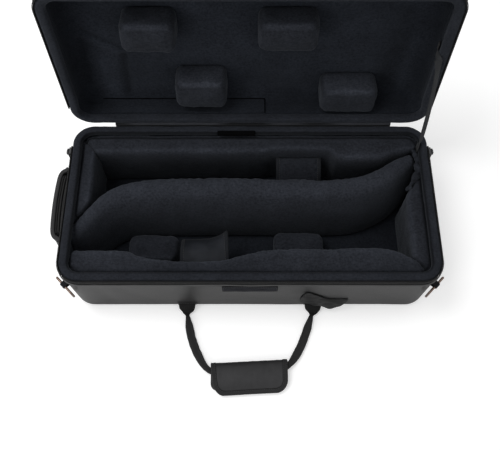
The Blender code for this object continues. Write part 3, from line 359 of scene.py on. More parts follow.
def rounded_outline(half_x, half_y, radius, arc=14, long=64, short=30):
    """Counter-clockwise points of a rectangle with round corners, and the outward direction at each."""
    arc_turn = quarter(arc + 1)
    points, out = [], []
    corners = ((1, -1, -1), (1, 1, 0), (-1, 1, 1), (-1, -1, 2))
    for k, (sx, sy, start) in enumerate(corners):
        a = start * math.pi / 2 + arc_turn
        n = np.stack([np.cos(a), np.sin(a)], -1)
        points.append(np.array([sx * (half_x - radius), sy * (half_y - radius)]) + radius * n)
        out.append(n)
        tx, ty, _ = corners[(k + 1) % 4]
        end = np.array([tx * (half_x - radius), ty * (half_y - radius)]) + radius * n[-1]
        share = np.linspace(0, 1, (short if k % 2 == 0 else long) + 2)[1:-1, None]
        points.append(points[-1][-1] + (end - points[-1][-1]) * share)
        out.append(np.repeat(n[-1:], len(share), 0))
    return np.vstack(points), np.vstack(out)


# Points of that outline from its first one to the middle of the right side
HALF_SIDE = 30


def case_outline(inset):
    return rounded_outline(HALF_LENGTH - inset, HALF_WIDTH - inset, max(CORNER - inset, 0.004))


def open_lid(p):
    """Turns points of the shut lid, with z from the rim's plane, to where the open lid stands."""
    back, rise = HINGE_Y - p[..., 1], p[..., 2]
    c, s = math.cos(LID_TURN), math.sin(LID_TURN)
    return np.stack([p[..., 0], HINGE_Y - back * c + rise * s, HINGE_Z + back * s + rise * c], -1)


def stand(p, lid):
    """Both halves are shaped shut, and the lid's points then turned to where it stands open."""
    return open_lid(p) if lid else p


def stacked(rows, outline):
    """Rings of a solid, one for each (inset, height). Outline gives the flat ring at an inset."""
    rings = []
    for inset, height in rows:
        flat = outline(inset)
        rings.append(np.column_stack([flat, np.full(len(flat), height)]))
    return np.array(rings)


# Finishes
class Wire:
    """A socket that sums can be written with: each operator adds its Math node."""

    def __init__(self, tree, socket):
        self.tree, self.socket = tree, socket

    def math(self, operation, *others):
        node = self.tree.nodes.new("ShaderNodeMath")
        node.operation = operation
        for slot, value in zip(node.inputs, (self, *others)):
            join(self.tree, slot, value)
        return Wire(self.tree, node.outputs[0])

    def __add__(self, other):
        return self.math("ADD", other)

    def __mul__(self, other):
        return self.math("MULTIPLY", other)

    def ramp(self, low, high):
        """0 below low, 1 above high, smooth between."""
        node = self.tree.nodes.new("ShaderNodeMapRange")
        node.interpolation_type = "SMOOTHSTEP"
        for name, value in (("Value", self), ("From Min", low), ("From Max", high)):
            join(self.tree, node.inputs[name], value)
        return Wire(self.tree, node.outputs[0])


def join(tree, slot, value):
    """Links a wire to a socket, or sets the socket's own value."""
    if isinstance(value, Wire):
        tree.links.new(value.socket, slot)
    else:
        slot.default_value = value


class Finish:
    """A material that is put together from nodes."""

    def __init__(self, name):
        self.material = bpy.data.materials.new(name)
        self.material.use_nodes = True
        self.tree = self.material.node_tree
        self.shader = self.tree.nodes["Principled BSDF"]

    def add(self, kind, settings=None, inputs=None, output=0):
        """Any node: its settings are set first, then the values or links of its sockets."""
        node = self.tree.nodes.new("ShaderNode" + kind)
        for key, value in (settings or {}).items():
            setattr(node, key, value)
        for key, value in (inputs or {}).items():
            join(self.tree, node.inputs[key], value)
        return Wire(self.tree, node.outputs[output])

    def place(self, scale=(1, 1, 1), turn=(0, 0, 0), source="Object"):
        found = self.add("TexCoord", output=source)
        return self.add("Mapping", inputs={"Vector": found, "Scale": scale, "Rotation": turn})

    def noise(self, where, scale, detail, rough=0.5):
        inputs = {"Vector": where, "Scale": scale, "Detail": detail, "Roughness": rough}
        return self.add("TexNoise", inputs=inputs)

    def bands(self, where, scale, direction):
        settings = {"wave_type": "BANDS", "bands_direction": direction, "wave_profile": "SIN"}
        return self.add("TexWave", settings, {"Vector": where, "Scale": scale})

    def blend(self, share, a, b, mode="MIX"):
        node = self.tree.nodes.new("ShaderNodeMix")
        node.data_type, node.blend_type = "RGBA", mode
        for slot, value in ((0, share), (6, a), (7, b)):
            join(self.tree, node.inputs[slot], value if isinstance(value, (Wire, float, int)) else (*value, 1))
        return Wire(self.tree, node.outputs[2])

    def times(self, colour, shade):
        return self.blend(1.0, colour, self.add("CombineXYZ", inputs=dict.fromkeys("XYZ", shade)), "MULTIPLY")

    def painted_light_and_tone(self):
        """Painted light and shade, with some random tone, from each piece's own attribute: 1 where it gives nothing."""
        return self.add("Attribute", {"attribute_name": "painted_light_and_tone"}, output=2) + 1.0

    def relief(self, height, distance, strength=1.0):
        """Height runs from 0 to 1 over that distance in metres."""
        inputs = {"Height": height, "Distance": distance, "Strength": strength}
        join(self.tree, self.shader.inputs["Normal"], self.add("Bump", inputs=inputs))

    def set(self, **values):
        for key, value in values.items():
            name = key.replace("_", " ").title().replace("Ior", "IOR")
            join(self.tree, self.shader.inputs[name], value)
        return self.material


def plush(name, dark, light, sheen=0.05):
    """Short-pile cloth: fine pile, fuzz and faint cross threads, with broad patches where the pile lies over. Its
    colour is multiplied by the piece's painted light and shade.
    """
    f = Finish(name)
    here = f.place()
    pile = f.noise(here, 1400, 2)
    fuzz = f.noise(here, 300, 3, 0.65)
    threads = f.noise(f.place((160, 900, 900)), 1, 2)
    brushed = f.noise(here, 20, 2, 0.55)
    colour = f.blend((pile * 0.25 + fuzz * 0.5 + threads * 0.25).ramp(0.34, 0.66), dark, light)
    colour = f.times(colour, (brushed.ramp(0.3, 0.7) * 0.24 + 0.88) * f.painted_light_and_tone())
    f.relief(pile * 0.4 + fuzz * 0.4 + threads * 0.3, 0.0008, 0.8)
    return f.set(
        base_color=colour, roughness=0.95, specular_ior_level=0.08, sheen_weight=sheen, sheen_roughness=0.5,
        sheen_tint=(0.80, 0.88, 1.0, 1),
    )


def coated_cloth(name, dark, light, grain, relief, rough, gloss=0.5):
    """Coated cloth or vinyl: a pebble grain, soft clouding, and rough and smooth patches. Its colour is multiplied by
    the piece's painted light and shade.
    """
    f = Finish(name)
    here = f.place()
    pebble = f.add("TexVoronoi", {"feature": "SMOOTH_F1"}, {"Vector": here, "Scale": grain})
    fine = f.noise(here, grain * 1.6, 2)
    cloud = f.noise(here, 35, 3, 0.55)
    scuff = f.noise(f.place((60, 420, 420)), 1, 3, 0.6).ramp(0.62, 0.74)
    colour = f.blend(cloud.ramp(0.3, 0.7), dark, light)
    colour = f.times(f.blend(scuff * 0.25, colour, tuple(c * 1.9 for c in light)), f.painted_light_and_tone())
    f.relief(pebble * 0.5 + fine * 0.4, relief, 0.9)
    low, high = rough
    return f.set(base_color=colour, roughness=cloud * (high - low) + low + scuff * 0.08, specular_ior_level=gloss)


def woven(name, dark, light, rib, rough=0.8, relief=0.00035):
    """Woven strap or tape on its own UV map: ribs across it, and threads that pass over and under. Its colour is
    multiplied by the piece's painted light and shade.
    """
    f = Finish(name)
    turns = math.pi / (10 * rib)
    across = f.bands(f.place(source="UV"), turns, "X")
    over = f.bands(f.place((1, 1, 1), (0, 0, 0.9), "UV"), turns * 1.3, "Y")
    fuzz = f.noise(f.place(), 900, 3, 0.6)
    weave = across * 0.6 + over * 0.4
    wear_and_painted_light = f.noise(f.place(), 60, 2)
    colour = f.blend((weave * 0.7 + fuzz * 0.4 + wear_and_painted_light * 0.2).ramp(0.2, 1.0), dark, light)
    f.relief(weave + fuzz * 0.35, relief, 0.9)
    return f.set(base_color=f.times(colour, f.painted_light_and_tone()), roughness=rough, specular_ior_level=0.15, sheen_weight=0.03)


def metal(name, colour, tint, rough, metallic=1.0):
    """Plated or enamelled metal with fine scratches and duller patches."""
    f = Finish(name)
    scratch = f.noise(f.place((300, 2600, 900)), 1, 2).ramp(0.55, 0.75)
    patchy = f.noise(f.place(), 160, 3)
    shade = f.blend(patchy.ramp(0.3, 0.7), colour, tint)
    f.relief(scratch, 0.00004, 0.6)
    return f.set(base_color=shade, metallic=metallic, roughness=patchy * 0.2 + scratch * 0.12 + rough)


def thread(name, colour):
    """Spun sewing thread, with a fine twist."""
    f = Finish(name)
    twist = f.bands(f.place((1, 1, 1), (0.4, 0.5, 0.6)), 260, "DIAGONAL")
    shade = f.blend(twist, tuple(c * 0.55 for c in colour), colour)
    f.relief(twist, 0.0001, 0.6)
    return f.set(base_color=shade, roughness=0.7, specular_ior_level=0.35)


LINING = plush("lining_plush", (0.0074, 0.0088, 0.0120), (0.0178, 0.0206, 0.0268))
PADDING = plush("padding_plush", (0.0093, 0.0105, 0.0137), (0.0228, 0.0252, 0.0318), 0.07)
LOOPS = plush("loop_pile", (0.0060, 0.0060, 0.0075), (0.0150, 0.0140, 0.0170))
COVER = coated_cloth("cover_vinyl", (0.0120, 0.0120, 0.0124), (0.0180, 0.0180, 0.0184), 1100, 0.00012, (0.40, 0.50))
# the cover's vinyl painted lighter, as a painted highlight on the piping cord in the shade of the rim roll
PIPING_PAINTED_LIGHTER = coated_cloth("piping_vinyl_painted_lighter", (0.0330, 0.0330, 0.0336), (0.0480, 0.0480, 0.0488), 1100, 0.00012, (0.40, 0.50))
FOLD = coated_cloth(
    "fold_vinyl", (0.0070, 0.0070, 0.0073), (0.0120, 0.0120, 0.0124), 1100, 0.00015, (0.50, 0.62), 0.25,
)
GRIP = coated_cloth(
    "grip_vinyl", (0.0130, 0.0130, 0.0140), (0.0200, 0.0200, 0.0215), 800, 0.0003, (0.55, 0.68), 0.3,
)
NECK = coated_cloth(
    "neck_strap_vinyl", (0.0088, 0.0101, 0.0128), (0.0190, 0.0210, 0.0256), 700, 0.0003, (0.62, 0.74), 0.12,
)
# nearly black vinyl of the rear tag, also used for the painted shadow line along the lid flap's edges
TAG_AND_SHADOW_LINE = coated_cloth("tag_vinyl_and_painted_shadow_line", (0.0008, 0.0008, 0.0010), (0.0018, 0.0018, 0.0021), 700, 0.0002, (0.8, 0.9), 0.02)
BOARD = coated_cloth("plain_board", (0.20, 0.14, 0.09), (0.30, 0.21, 0.13), 300, 0.0002, (0.7, 0.8))
STAY_WEB = woven("stay_webbing", (0.0140, 0.0148, 0.0164), (0.0330, 0.0346, 0.0375), 0.0014)
STRAPS = woven("strap_webbing", (0.0110, 0.0110, 0.0112), (0.0300, 0.0300, 0.0305), 0.0014)
BINDING = woven("binding_tape", (0.0044, 0.0052, 0.0068), (0.0125, 0.0142, 0.0178), 0.0009, 0.8, 0.0002)
HINGE = woven("hinge_webbing", (0.0030, 0.0032, 0.0040), (0.0095, 0.0100, 0.0115), 0.0014, 0.85)
EDGING = woven("edging_tape", (0.0080, 0.0080, 0.0084), (0.0340, 0.0340, 0.0350), 0.0015, 0.7, 0.0005)
# zipper tape and coil painted very dark, as painted shade of the gap under the rim roll
TAPE_PAINTED_DARK = woven("zipper_cloth", (0.0035, 0.0036, 0.0040), (0.0080, 0.0082, 0.0090), 0.0008, 0.8, 0.0002)
COIL_PAINTED_DARK = metal("zipper_coil_painted_dark", (0.0050, 0.0050, 0.0055), (0.0100, 0.0100, 0.0105), 0.45, 0.0)
RING = metal("ring_plating", (0.130, 0.090, 0.072), (0.230, 0.165, 0.135), 0.30)
SLIDER = metal("slider_enamel", (0.030, 0.030, 0.032), (0.060, 0.060, 0.062), 0.28, 0.6)
THREAD = thread("sewing_thread", (0.045, 0.045, 0.047))


# Shells
PLATE_ROWS = 12  # rings across the flat closed end of a tub, round its edge, and up its wall
EDGE_ROWS = 7
WALL_ROWS = 10
SPINE = 0.004  # half width of the innermost ring


def shell_rows(inset, wall, closed, mouth, edge):
    """(inset, height) down one face of a tub and up the other: closed end, round edge, wall, mouth, and back."""
    side = 1 if closed > mouth else -1

    def face(start, level, radius):
        limit = HALF_WIDTH - SPINE
        low = level - side * radius
        flat = [(limit - (limit - start - radius) * k / PLATE_ROWS, level) for k in range(PLATE_ROWS)]
        bend = [(start + radius * (1 - math.sin(a)), level - side * radius * (1 - math.cos(a)))
                for a in quarter(EDGE_ROWS)]
        return flat + bend + [(start, low + (mouth - low) * k / WALL_ROWS) for k in range(1, WALL_ROWS + 1)]

    inside = face(inset + wall, closed - side * wall, max(edge - wall, 0.0015))
    return face(inset, closed, edge) + inside[::-1]


def add_shell(name, inset, wall, closed, mouth, edge, finish, wave=0.0, seed=1, dents=()):
    """A tub with soft waves in its faces that only sink in, by up to wave. The lid's is closed above its mouth."""
    lid = closed > mouth
    p = stacked(shell_rows(inset, wall, closed, mouth, edge), lambda inset: case_outline(inset)[0])
    for ring in (p[0], p[-1]):  # round ends, so that no face across the innermost rings shrinks to a line
        half = np.abs(ring[:, 1]).max()
        ring[:, 0] += np.sign(ring[:, 0]) * np.sqrt(np.maximum(half ** 2 - ring[:, 1] ** 2, 0))
    outside = np.arange(len(p))[:, None] < len(p) / 2
    sink = wave * (0.5 + 0.5 * folds(p, 0.085, seed)) + dented(p, dents)
    way = outward_normals(p, False, True)
    way[:PLATE_ROWS] = 0, 0, 1 if lid else -1  # the innermost rings are too thin to tell their own way
    p = stand(p - way * (sink * outside)[..., None], lid)
    make_piece(name + "_skin", sealed(np.roll(p, -HALF_SIDE, axis=1), "ladder"), finish, BODIES[lid], (name,))


# Soft dents of the front wall, which hangs a little slack: (start, end, width, depth)
FRONT_DENTS = (
    ((-0.232, -0.133, 0.110), (-0.222, -0.133, 0.030), 0.010, 0.0012),
    ((-0.200, -0.133, 0.100), (-0.150, -0.133, 0.030), 0.012, 0.0006),
    ((-0.030, -0.133, 0.060), (0.070, -0.133, 0.050), 0.014, 0.0005),
    ((0.180, -0.133, 0.095), (0.235, -0.133, 0.030), 0.012, 0.0006),
    ((0.060, -0.133, 0.080), (0.110, -0.133, 0.100), 0.010, 0.0005),
)
add_shell("base_cover", 0, 0.0020, 0, 0.1167, 0.0080, COVER, 0.0004, 3, FRONT_DENTS)
add_shell("base_lining", 0.0066, 0.0020, 0.0066, 0.1167, 0.0030, LINING)
add_shell("lid_cover", 0, 0.0020, 0.0700, 0.0137, 0.0140, COVER, 0.0005, 5)
add_shell("lid_lining", 0.0066, 0.0035, 0.0634, 0.0137, 0.0074, LINING)


# Rim rolls
ROLL_POWER = 0.72
PUCKER_PITCH = 0.0045


def add_roll(name, middle, lid, seed):
    """A superellipse carried round the rim, fuller outside and flatter inside at the rear. The cloth gathers on the
    inside of each corner, swells a little, and sinks in at its seam."""
    flat, out = case_outline(ROLL_INSET)
    angle = around(28)
    sx, sz = rounded_section(ROLL_HALF_WIDTH, ROLL_HALF_HEIGHT, ROLL_POWER, len(angle)).T
    rear = step_up(flat[:, 1], 0.080, 0.122)[:, None]
    sx = np.where(sx > 0, sx * (1 + 0.30 * rear), sx * (1 - 0.48 * rear))
    p = np.empty((len(flat), len(angle), 3))
    p[..., :2] = flat[:, None] + out[:, None] * sx[..., None]
    p[..., 2] = middle + sz
    way = run_lengths(p, 0, True)[:-1][:, None]
    turning = np.abs(out[:, 0] * out[:, 1])[:, None] * 2
    pucker = turning * np.clip(-np.cos(angle), 0, 1) * (0.5 + 0.5 * np.sin(way * TURN / PUCKER_PITCH))
    lift = 0.00022 * folds(p, 0.035, seed) + 0.00012 * folds(p, 0.009, seed + 1) - 0.0004 * pucker
    p = stand(pushed(p, lift - 0.0006 * bell(angle, 1.75 * math.pi, 0.16), True), lid)
    part = angle / math.pi
    # painted shade: the base roll's inner lower side and a line along its seam are darkened
    dark = step_up(part, 0.58, 0.80) * (1 - step_up(part, 1.45, 1.65)) + bell(part, 1.80, 0.14)
    painted_light_and_tone = np.broadcast_to(-0.68 * dark * (0 if lid else 1), p.shape[:2])
    make_piece(name + "_plush", [patch(p, True, True)], PADDING, BODIES[lid], (name,), painted_light_and_tone=painted_light_and_tone)


add_roll("base_rim_roll", ROLL_MIDDLE, False, 11)
add_roll("lid_rim_roll", LID_ROLL_MIDDLE, True, 21)


# Wall pads and the divider
PAD_TOP = 0.1165
# Closed sections: (share of the way from the outer to the inner line, share of the height)
PAD_SECTION = (
    (0.03, 0.0), (0.50, 0.0), (0.93, 0.0), (1.0, 0.12), (1.03, 0.5), (1.03, 0.88), (1.01, 0.965), (0.94, 1.008),
    (0.80, 1.02), (0.55, 1.02), (0.27, 1.015), (0.08, 1.0), (0.0, 0.93), (0.0, 0.5),
)
DIVIDER_SECTION = (
    (0.04, 0.0), (0.50, 0.0), (0.96, 0.0), (1.01, 0.07), (0.96, 0.30), (0.80, 0.60), (0.64, 0.85), (0.52, 0.96),
    (0.32, 1.015), (0.13, 1.02), (0.01, 0.985), (-0.03, 0.90), (-0.01, 0.5), (0.0, 0.1),
)
# Stations of (outer x, outer y, inner x, inner y), then a top of its own where it has one
PADS = {
    "pad_back": (
        (-0.2736, 0.1140, -0.2520, 0.0905), (-0.2640, 0.1205, -0.2450, 0.0900), (-0.2350, 0.1238, -0.2250, 0.0905),
        (-0.1500, 0.1238, -0.1500, 0.0910), (-0.0500, 0.1238, -0.0500, 0.0912), (0.0200, 0.1238, 0.0200, 0.0925),
        (0.0380, 0.1238, 0.0380, 0.0955), (0.1190, 0.1238, 0.1190, 0.0955), (0.1310, 0.1238, 0.1310, 0.0935),
        (0.1440, 0.1238, 0.1440, 0.0825), (0.1780, 0.1238, 0.1780, 0.0790), (0.2120, 0.1238, 0.2120, 0.0805),
        (0.2330, 0.1238, 0.2350, 0.0905), (0.2560, 0.1234, 0.2600, 0.0955), (0.2730, 0.1135, 0.2760, 0.0990),
    ),
    "pad_front": (
        (-0.2725, -0.1140, -0.2774, -0.0820), (-0.2600, -0.1222, -0.2620, -0.0790),
        (-0.2240, -0.1238, -0.2240, -0.0790), (-0.1850, -0.1238, -0.1850, -0.0800),
        (-0.1690, -0.1238, -0.1690, -0.0870), (-0.1270, -0.1238, -0.1270, -0.0940),
        (-0.0840, -0.1238, -0.0840, -0.0960), (-0.0420, -0.1238, -0.0420, -0.0940),
        (-0.0100, -0.1238, -0.0100, -0.0860), (0.0380, -0.1238, 0.0380, -0.0770), (0.1120, -0.1238, 0.1120, -0.0770),
        (0.1980, -0.1238, 0.1980, -0.0750), (0.2350, -0.1238, 0.2250, -0.0810), (0.2600, -0.1222, 0.2400, -0.0880),
        (0.2698, -0.1168, 0.2450, -0.0905),
    ),
    "pad_left": (
        (-0.2784, -0.0310, -0.2540, -0.0035), (-0.2784, -0.0050, -0.2525, 0.0120), (-0.2784, 0.0400, -0.2520, 0.0400),
        (-0.2784, 0.0800, -0.2515, 0.0730), (-0.2760, 0.1050, -0.2513, 0.0850), (-0.2714, 0.1145, -0.2512, 0.0905),
    ),
    "pad_right": (
        (0.2712, -0.1150, 0.2468, -0.0885), (0.2760, -0.1060, 0.2470, -0.0820), (0.2784, -0.0800, 0.2472, -0.0700),
        (0.2784, -0.0300, 0.2472, -0.0300), (0.2784, 0.0200, 0.2470, 0.0020), (0.2784, 0.0560, 0.2480, 0.0150),
    ),
    "s_divider": (
        (-0.2785, -0.0400, -0.2785, -0.0725, 0.1125), (-0.2640, -0.0230, -0.2570, -0.0665, 0.1140),
        (-0.2490, -0.0050, -0.2380, -0.0490, 0.1180), (-0.2290, 0.0150, -0.2160, -0.0310, 0.1185),
        (-0.2010, 0.0310, -0.1890, -0.0210, 0.1185), (-0.1650, 0.0395, -0.1560, -0.0180, 0.1185),
        (-0.1100, 0.0418, -0.1100, -0.0170, 0.1185), (-0.0230, 0.0425, -0.0230, -0.0160, 0.1185),
        (0.0600, 0.0410, 0.0600, -0.0170, 0.1185), (0.1170, 0.0395, 0.1250, -0.0170, 0.1185),
        (0.1600, 0.0430, 0.1720, -0.0130, 0.1185), (0.1910, 0.0510, 0.2070, 0.0000, 0.1185),
        (0.2150, 0.0640, 0.2360, 0.0180, 0.1182), (0.2360, 0.0775, 0.2580, 0.0400, 0.1160),
        (0.2620, 0.0890, 0.2745, 0.0640, 0.1110),
    ),
}
# Creases in each pad: (start, end, width, depth), where a depth below 0 is a raised fold
CREASES = {
    "pad_back": (
        ((0.0950, 0.1070, 0.1190), (0.1450, 0.1050, 0.1190), 0.0016, 0.0012),
        ((0.0950, 0.1040, 0.1190), (0.1450, 0.1020, 0.1190), 0.0022, -0.0008),
        ((-0.2480, 0.1150, 0.1190), (-0.2330, 0.0930, 0.1100), 0.0030, 0.0016),
        ((0.1350, 0.0900, 0.1160), (0.1500, 0.0850, 0.1000), 0.0040, 0.0012),
    ),
    "pad_front": (
        ((-0.1900, -0.0860, 0.1180), (-0.1300, -0.0950, 0.1185), 0.0018, -0.0010),
        ((-0.1850, -0.0910, 0.1180), (-0.1350, -0.0985, 0.1185), 0.0020, 0.0010),
        ((0.2250, -0.0850, 0.1180), (0.2550, -0.1120, 0.1160), 0.0030, 0.0012),
    ),
    "pad_left": (
        ((-0.2700, 0.0950, 0.1170), (-0.2560, 0.0850, 0.1000), 0.0030, 0.0012),
    ),
    "pad_right": (
        ((0.2600, -0.1050, 0.1170), (0.2600, 0.0350, 0.1170), 0.0013, 0.0010),
        ((0.2700, 0.0100, 0.1170), (0.2500, 0.0000, 0.1080), 0.0030, 0.0012),
    ),
    "s_divider": (
        ((0.2450, 0.0800, 0.1200), (0.2620, 0.0640, 0.1120), 0.0026, 0.0016),
        ((0.2520, 0.0860, 0.1150), (0.2700, 0.0720, 0.1060), 0.0024, 0.0018),
        ((0.2480, 0.0700, 0.1180), (0.2700, 0.0600, 0.1060), 0.0022, 0.0014),
        ((-0.2660, -0.0300, 0.1150), (-0.2640, -0.0600, 0.1130), 0.0030, 0.0016),
        ((-0.2560, -0.0250, 0.1180), (-0.2500, -0.0500, 0.1160), 0.0022, 0.0010),
    ),
}


def depth_in(p):
    """How far a point lies inside the case's outline, as a flat distance."""
    q = np.abs(p[..., :2]) - (HALF_LENGTH - CORNER, HALF_WIDTH - CORNER)
    return CORNER - np.linalg.norm(np.maximum(q, 0), axis=-1) - np.minimum(q.max(-1), 0)


# How much lighter each pad's colour is made, and how much painted shade darkens its inner face
PAD_TONES = {
    "pad_back": (0.03, 0.0), "pad_front": (0.16, 0.0), "pad_left": (0.16, 0.20), "pad_right": (0.02, 0.45),
    "s_divider": (0.10, 0.0),
}
ROLL_SEAM = ROLL_INSET + ROLL_HALF_WIDTH + 0.0004


def pad_grid(stations, section, rows, columns=84, ends=0.006, keep=0.86):
    """Rings from the outer to the inner line and from the foot to the top, drawn in towards both ends."""
    s = smooth_line([(*station, PAD_TOP)[:5] for station in stations], rows)
    share = smooth_line(section, columns, closed=True)
    outer, inner, high = s[:, None, :2], s[:, None, 2:4], s[:, None, 4]
    across, up = share[None, :, 0], share[None, :, 1]
    p = np.empty((rows, columns, 3))
    p[..., :2] = outer + (inner - outer) * across[..., None]
    p[..., 2] = PAD_FOOT + (high - PAD_FOOT) * np.maximum(up, 0)
    middle = p.mean(1, keepdims=True)
    way = distances(middle[:, 0])
    size = keep + (1 - keep) * rounded(np.minimum(way, way[-1] - way) / ends)
    return middle + (p - middle) * size[:, None, None], way, across, up


def add_pad(name, rows, seed, puckers=0.0005):
    """A foam wall in plush: soft swells, creases of its own, and fine puckers where the cloth turns over the top."""
    divider = name == "s_divider"
    p, way, across, up = pad_grid(PADS[name], DIVIDER_SECTION if divider else PAD_SECTION, rows)
    free = step_up(up, 0.05, 0.25)
    ridge = bell(up, 1.0, 0.10) * bell(across, 0.0 if divider else 0.95, 0.22)
    end = (bell(way, 0, 0.020) + bell(way, way[-1], 0.020))[:, None]
    seam = ROLL_SEAM + 0.0022 * (p[..., 1] < -0.105)
    lift = 0.0007 * folds(p, 0.070, seed) * free
    lift = lift + puckers * ridge * folds(p, 0.012, seed + 1, (1, 1, 0.3))
    lift = lift + 0.00025 * folds(p, 0.020, seed + 2) * free
    lift = lift + 0.0007 * end * free * folds(p, 0.010, seed + 3, (1, 1, 0.35))
    lift = lift - dented(p, CREASES[name]) - 0.0018 * bell(depth_in(p), seam, 0.0020) * step_up(up, 0.9, 0.99)
    p = pushed(p, lift)
    height = (p[..., 2] - PAD_FOOT) / (PAD_TOP - PAD_FOOT)
    lighter, inner_face_shade = PAD_TONES[name]
    # painted light: a painted highlight along the top ridge, painted shade low on the pad and along the seam under the
    # roll, the pad's lighter tone, and painted shade on its inner face
    painted_light_and_tone = 0.50 * bell(up, 0.99, 0.07) * bell(across, *((0.16, 0.30) if divider else (0.97, 0.16)))
    painted_light_and_tone = painted_light_and_tone - 0.30 * (1 - step_up(height, 0.35, 0.95)) + 0.10 * folds(p, 0.050, seed + 5) * painted_light_and_tone
    painted_light_and_tone = painted_light_and_tone - 0.80 * bell(depth_in(p), seam, 0.0020) * step_up(height, 0.9, 0.97)
    painted_light_and_tone = painted_light_and_tone + lighter - inner_face_shade * step_up(across, 0.80, 0.98) * (1 - step_up(up, 0.86, 0.97))
    make_piece(name + "_plush", sealed(p), PADDING, "base", (name,), painted_light_and_tone=painted_light_and_tone)


add_pad("pad_back", 260, 31)
add_pad("pad_front", 260, 37)
add_pad("pad_left", 90, 41)
add_pad("pad_right", 90, 43)
add_pad("s_divider", 300, 47, 0.0006)


# Middle line of the spare cloth at the divider's end
GATHER = (
    (0.2490, 0.0230, 0.1110), (0.2550, 0.0300, 0.1160), (0.2610, 0.0390, 0.1182), (0.2660, 0.0490, 0.1192),
    (0.2688, 0.0600, 0.1192), (0.2694, 0.0720, 0.1190), (0.2684, 0.0840, 0.1185), (0.2640, 0.0950, 0.1165),
)


def add_gather(count=110):
    """Spare cloth, pushed together into folds between the end of the divider and the right wall."""
    line = smooth_line(GATHER, count)
    swell = 0.0050 + 0.0011 * np.sin(np.linspace(0, 24, count) + 0.8 * np.sin(np.linspace(0, 9, count)))
    girth = swell * np.sqrt(np.clip(np.sin(np.linspace(0.10, math.pi - 0.10, count)), 0, 1))
    across = np.cross(unit(np.gradient(line, axis=0)), (0, 0, 1))
    p = carried(line, across, rounded_section(1.0, 0.8, 0.8, 30)[None] * girth[:, None, None])
    lift = 0.0009 * folds(p, 0.008, 57, (1, 1, 0.4)) + 0.0005 * folds(p, 0.016, 58)
    # painted light: lighter on the swells of the folds, painted shade in the troughs between them and over the whole
    # gather
    make_piece("divider_gather_plush", sealed(pushed(p, lift)), PADDING, "base",
               painted_light_and_tone=220 * lift - 0.15)


add_gather()


# Floor and ceiling
def rounded_grid(half_x, half_y, radius, nu, nv):
    """A grid over a rectangle with round corners. Each corner square is drawn into its quarter disc: each
    coordinate times the root of one less half the square of the other. Also gives the distance to the edge."""
    steps = np.sin(np.linspace(-0.5, 0.5, nu) * math.pi), np.sin(np.linspace(-0.5, 0.5, nv) * math.pi)
    x, y = np.meshgrid(steps[0] * half_x, steps[1] * half_y, indexing="ij")
    a = np.clip((np.abs(x) - (half_x - radius)) / radius, 0, 1)
    b = np.clip((np.abs(y) - (half_y - radius)) / radius, 0, 1)
    x = np.sign(x) * np.where(a > 0, half_x - radius + radius * a * np.sqrt(1 - b * b / 2), np.abs(x))
    y = np.sign(y) * np.where(b > 0, half_y - radius + radius * b * np.sqrt(1 - a * a / 2), np.abs(y))
    q = np.stack([np.abs(x) - (half_x - radius), np.abs(y) - (half_y - radius)], -1)
    away = np.linalg.norm(np.maximum(q, 0), axis=-1) + np.minimum(q.max(-1), 0) - radius
    return x, y, np.maximum(-away, 0)


def two_faces(x, y, face, back):
    """Closes a panel between its face and its back, given as heights over the same grid."""
    return doubled(np.stack([x, y, face], -1), np.stack([x, y, back], -1))


def add_floor_pad():
    x, y, edge = rounded_grid(0.2783, 0.1238, 0.0249, 130, 70)
    face = 0.0119 + 0.0028 * rounded(edge / 0.004)
    face = face + 0.0003 * (folds(np.stack([x, y, face], -1), 0.060, 51) - 1)
    p = two_faces(x, y, face, np.full_like(face, 0.0090))
    # the whole floor is darkened by painted shade
    make_piece("base_floor_pad_plush", sealed(p, "ladder"), LINING, "base", ("base_floor_pad",),
               painted_light_and_tone=np.full(p.shape[:2], -0.25))


# Heights of the shut lid's ceiling and of its back, over the rim
CEILING = 0.0556
CEILING_BACK = 0.0597
# Its soft dents and creases: (start, end, width, depth), with the points as (x, y)
CEILING_DENTS = (
    ((-0.2500, -0.0180), (-0.1950, 0.0180), 0.0035, 0.0018), ((-0.2480, -0.0060), (-0.2000, 0.0260), 0.0060, -0.0014),
    ((-0.1960, 0.0330), (-0.2010, 0.1080), 0.0065, 0.0034), ((-0.2300, 0.0480), (-0.2250, 0.1050), 0.0160, -0.0022),
    ((-0.2560, 0.0000), (-0.2600, 0.0900), 0.0060, 0.0020), ((0.2200, 0.0900), (0.2320, -0.0500), 0.0200, 0.0022),
    ((0.2480, 0.1000), (0.2520, 0.0000), 0.0100, -0.0014),
)
COVE = 0.0210


def add_ceiling_pad():
    """The ceiling comes round into the walls as a quarter circle, so that no edge shows between them."""
    x, y, edge = rounded_grid(0.2772, 0.1227, 0.0237, 220, 130)
    cove = COVE - np.sqrt(np.maximum(COVE ** 2 - np.clip(COVE - edge, 0, COVE) ** 2, 0))
    here = np.stack([x, y, np.full_like(x, CEILING)], -1)
    dents = dented(here[..., :2], CEILING_DENTS)
    sink = 0.0009 * (1 + folds(here, 0.070, 53)) + 0.0003 * folds(here, 0.020, 54) + dents
    # painted light: the ceiling lighter overall, painted shade in the cove by the walls and in the dents, painted
    # highlight on the raised folds, and a little random tone
    painted_light_and_tone = 0.30 - 0.40 * (1 - step_up(edge, 0.004, 0.026)) + 0.07 * folds(here, 0.060, 55) - 170 * dents
    height = CEILING - cove + np.clip(sink, -0.002, 0.0036) * step_up(edge, 0.002, 0.012)
    back = np.maximum(CEILING_BACK - np.where(edge > 0.004, 0, 0.0220), height + 0.0003)
    p = open_lid(two_faces(x, y, height, back))
    make_piece("lid_ceiling_pad_plush", sealed(p, "ladder"), LINING, "lid", ("lid_ceiling_pad",),
               painted_light_and_tone=doubled(painted_light_and_tone))


add_floor_pad()
add_ceiling_pad()


# Foam blocks
def round_edge(tall, edge, turn):
    return [(edge * (1 - math.cos(a)), tall - edge + edge * math.sin(a)) for a in turn]


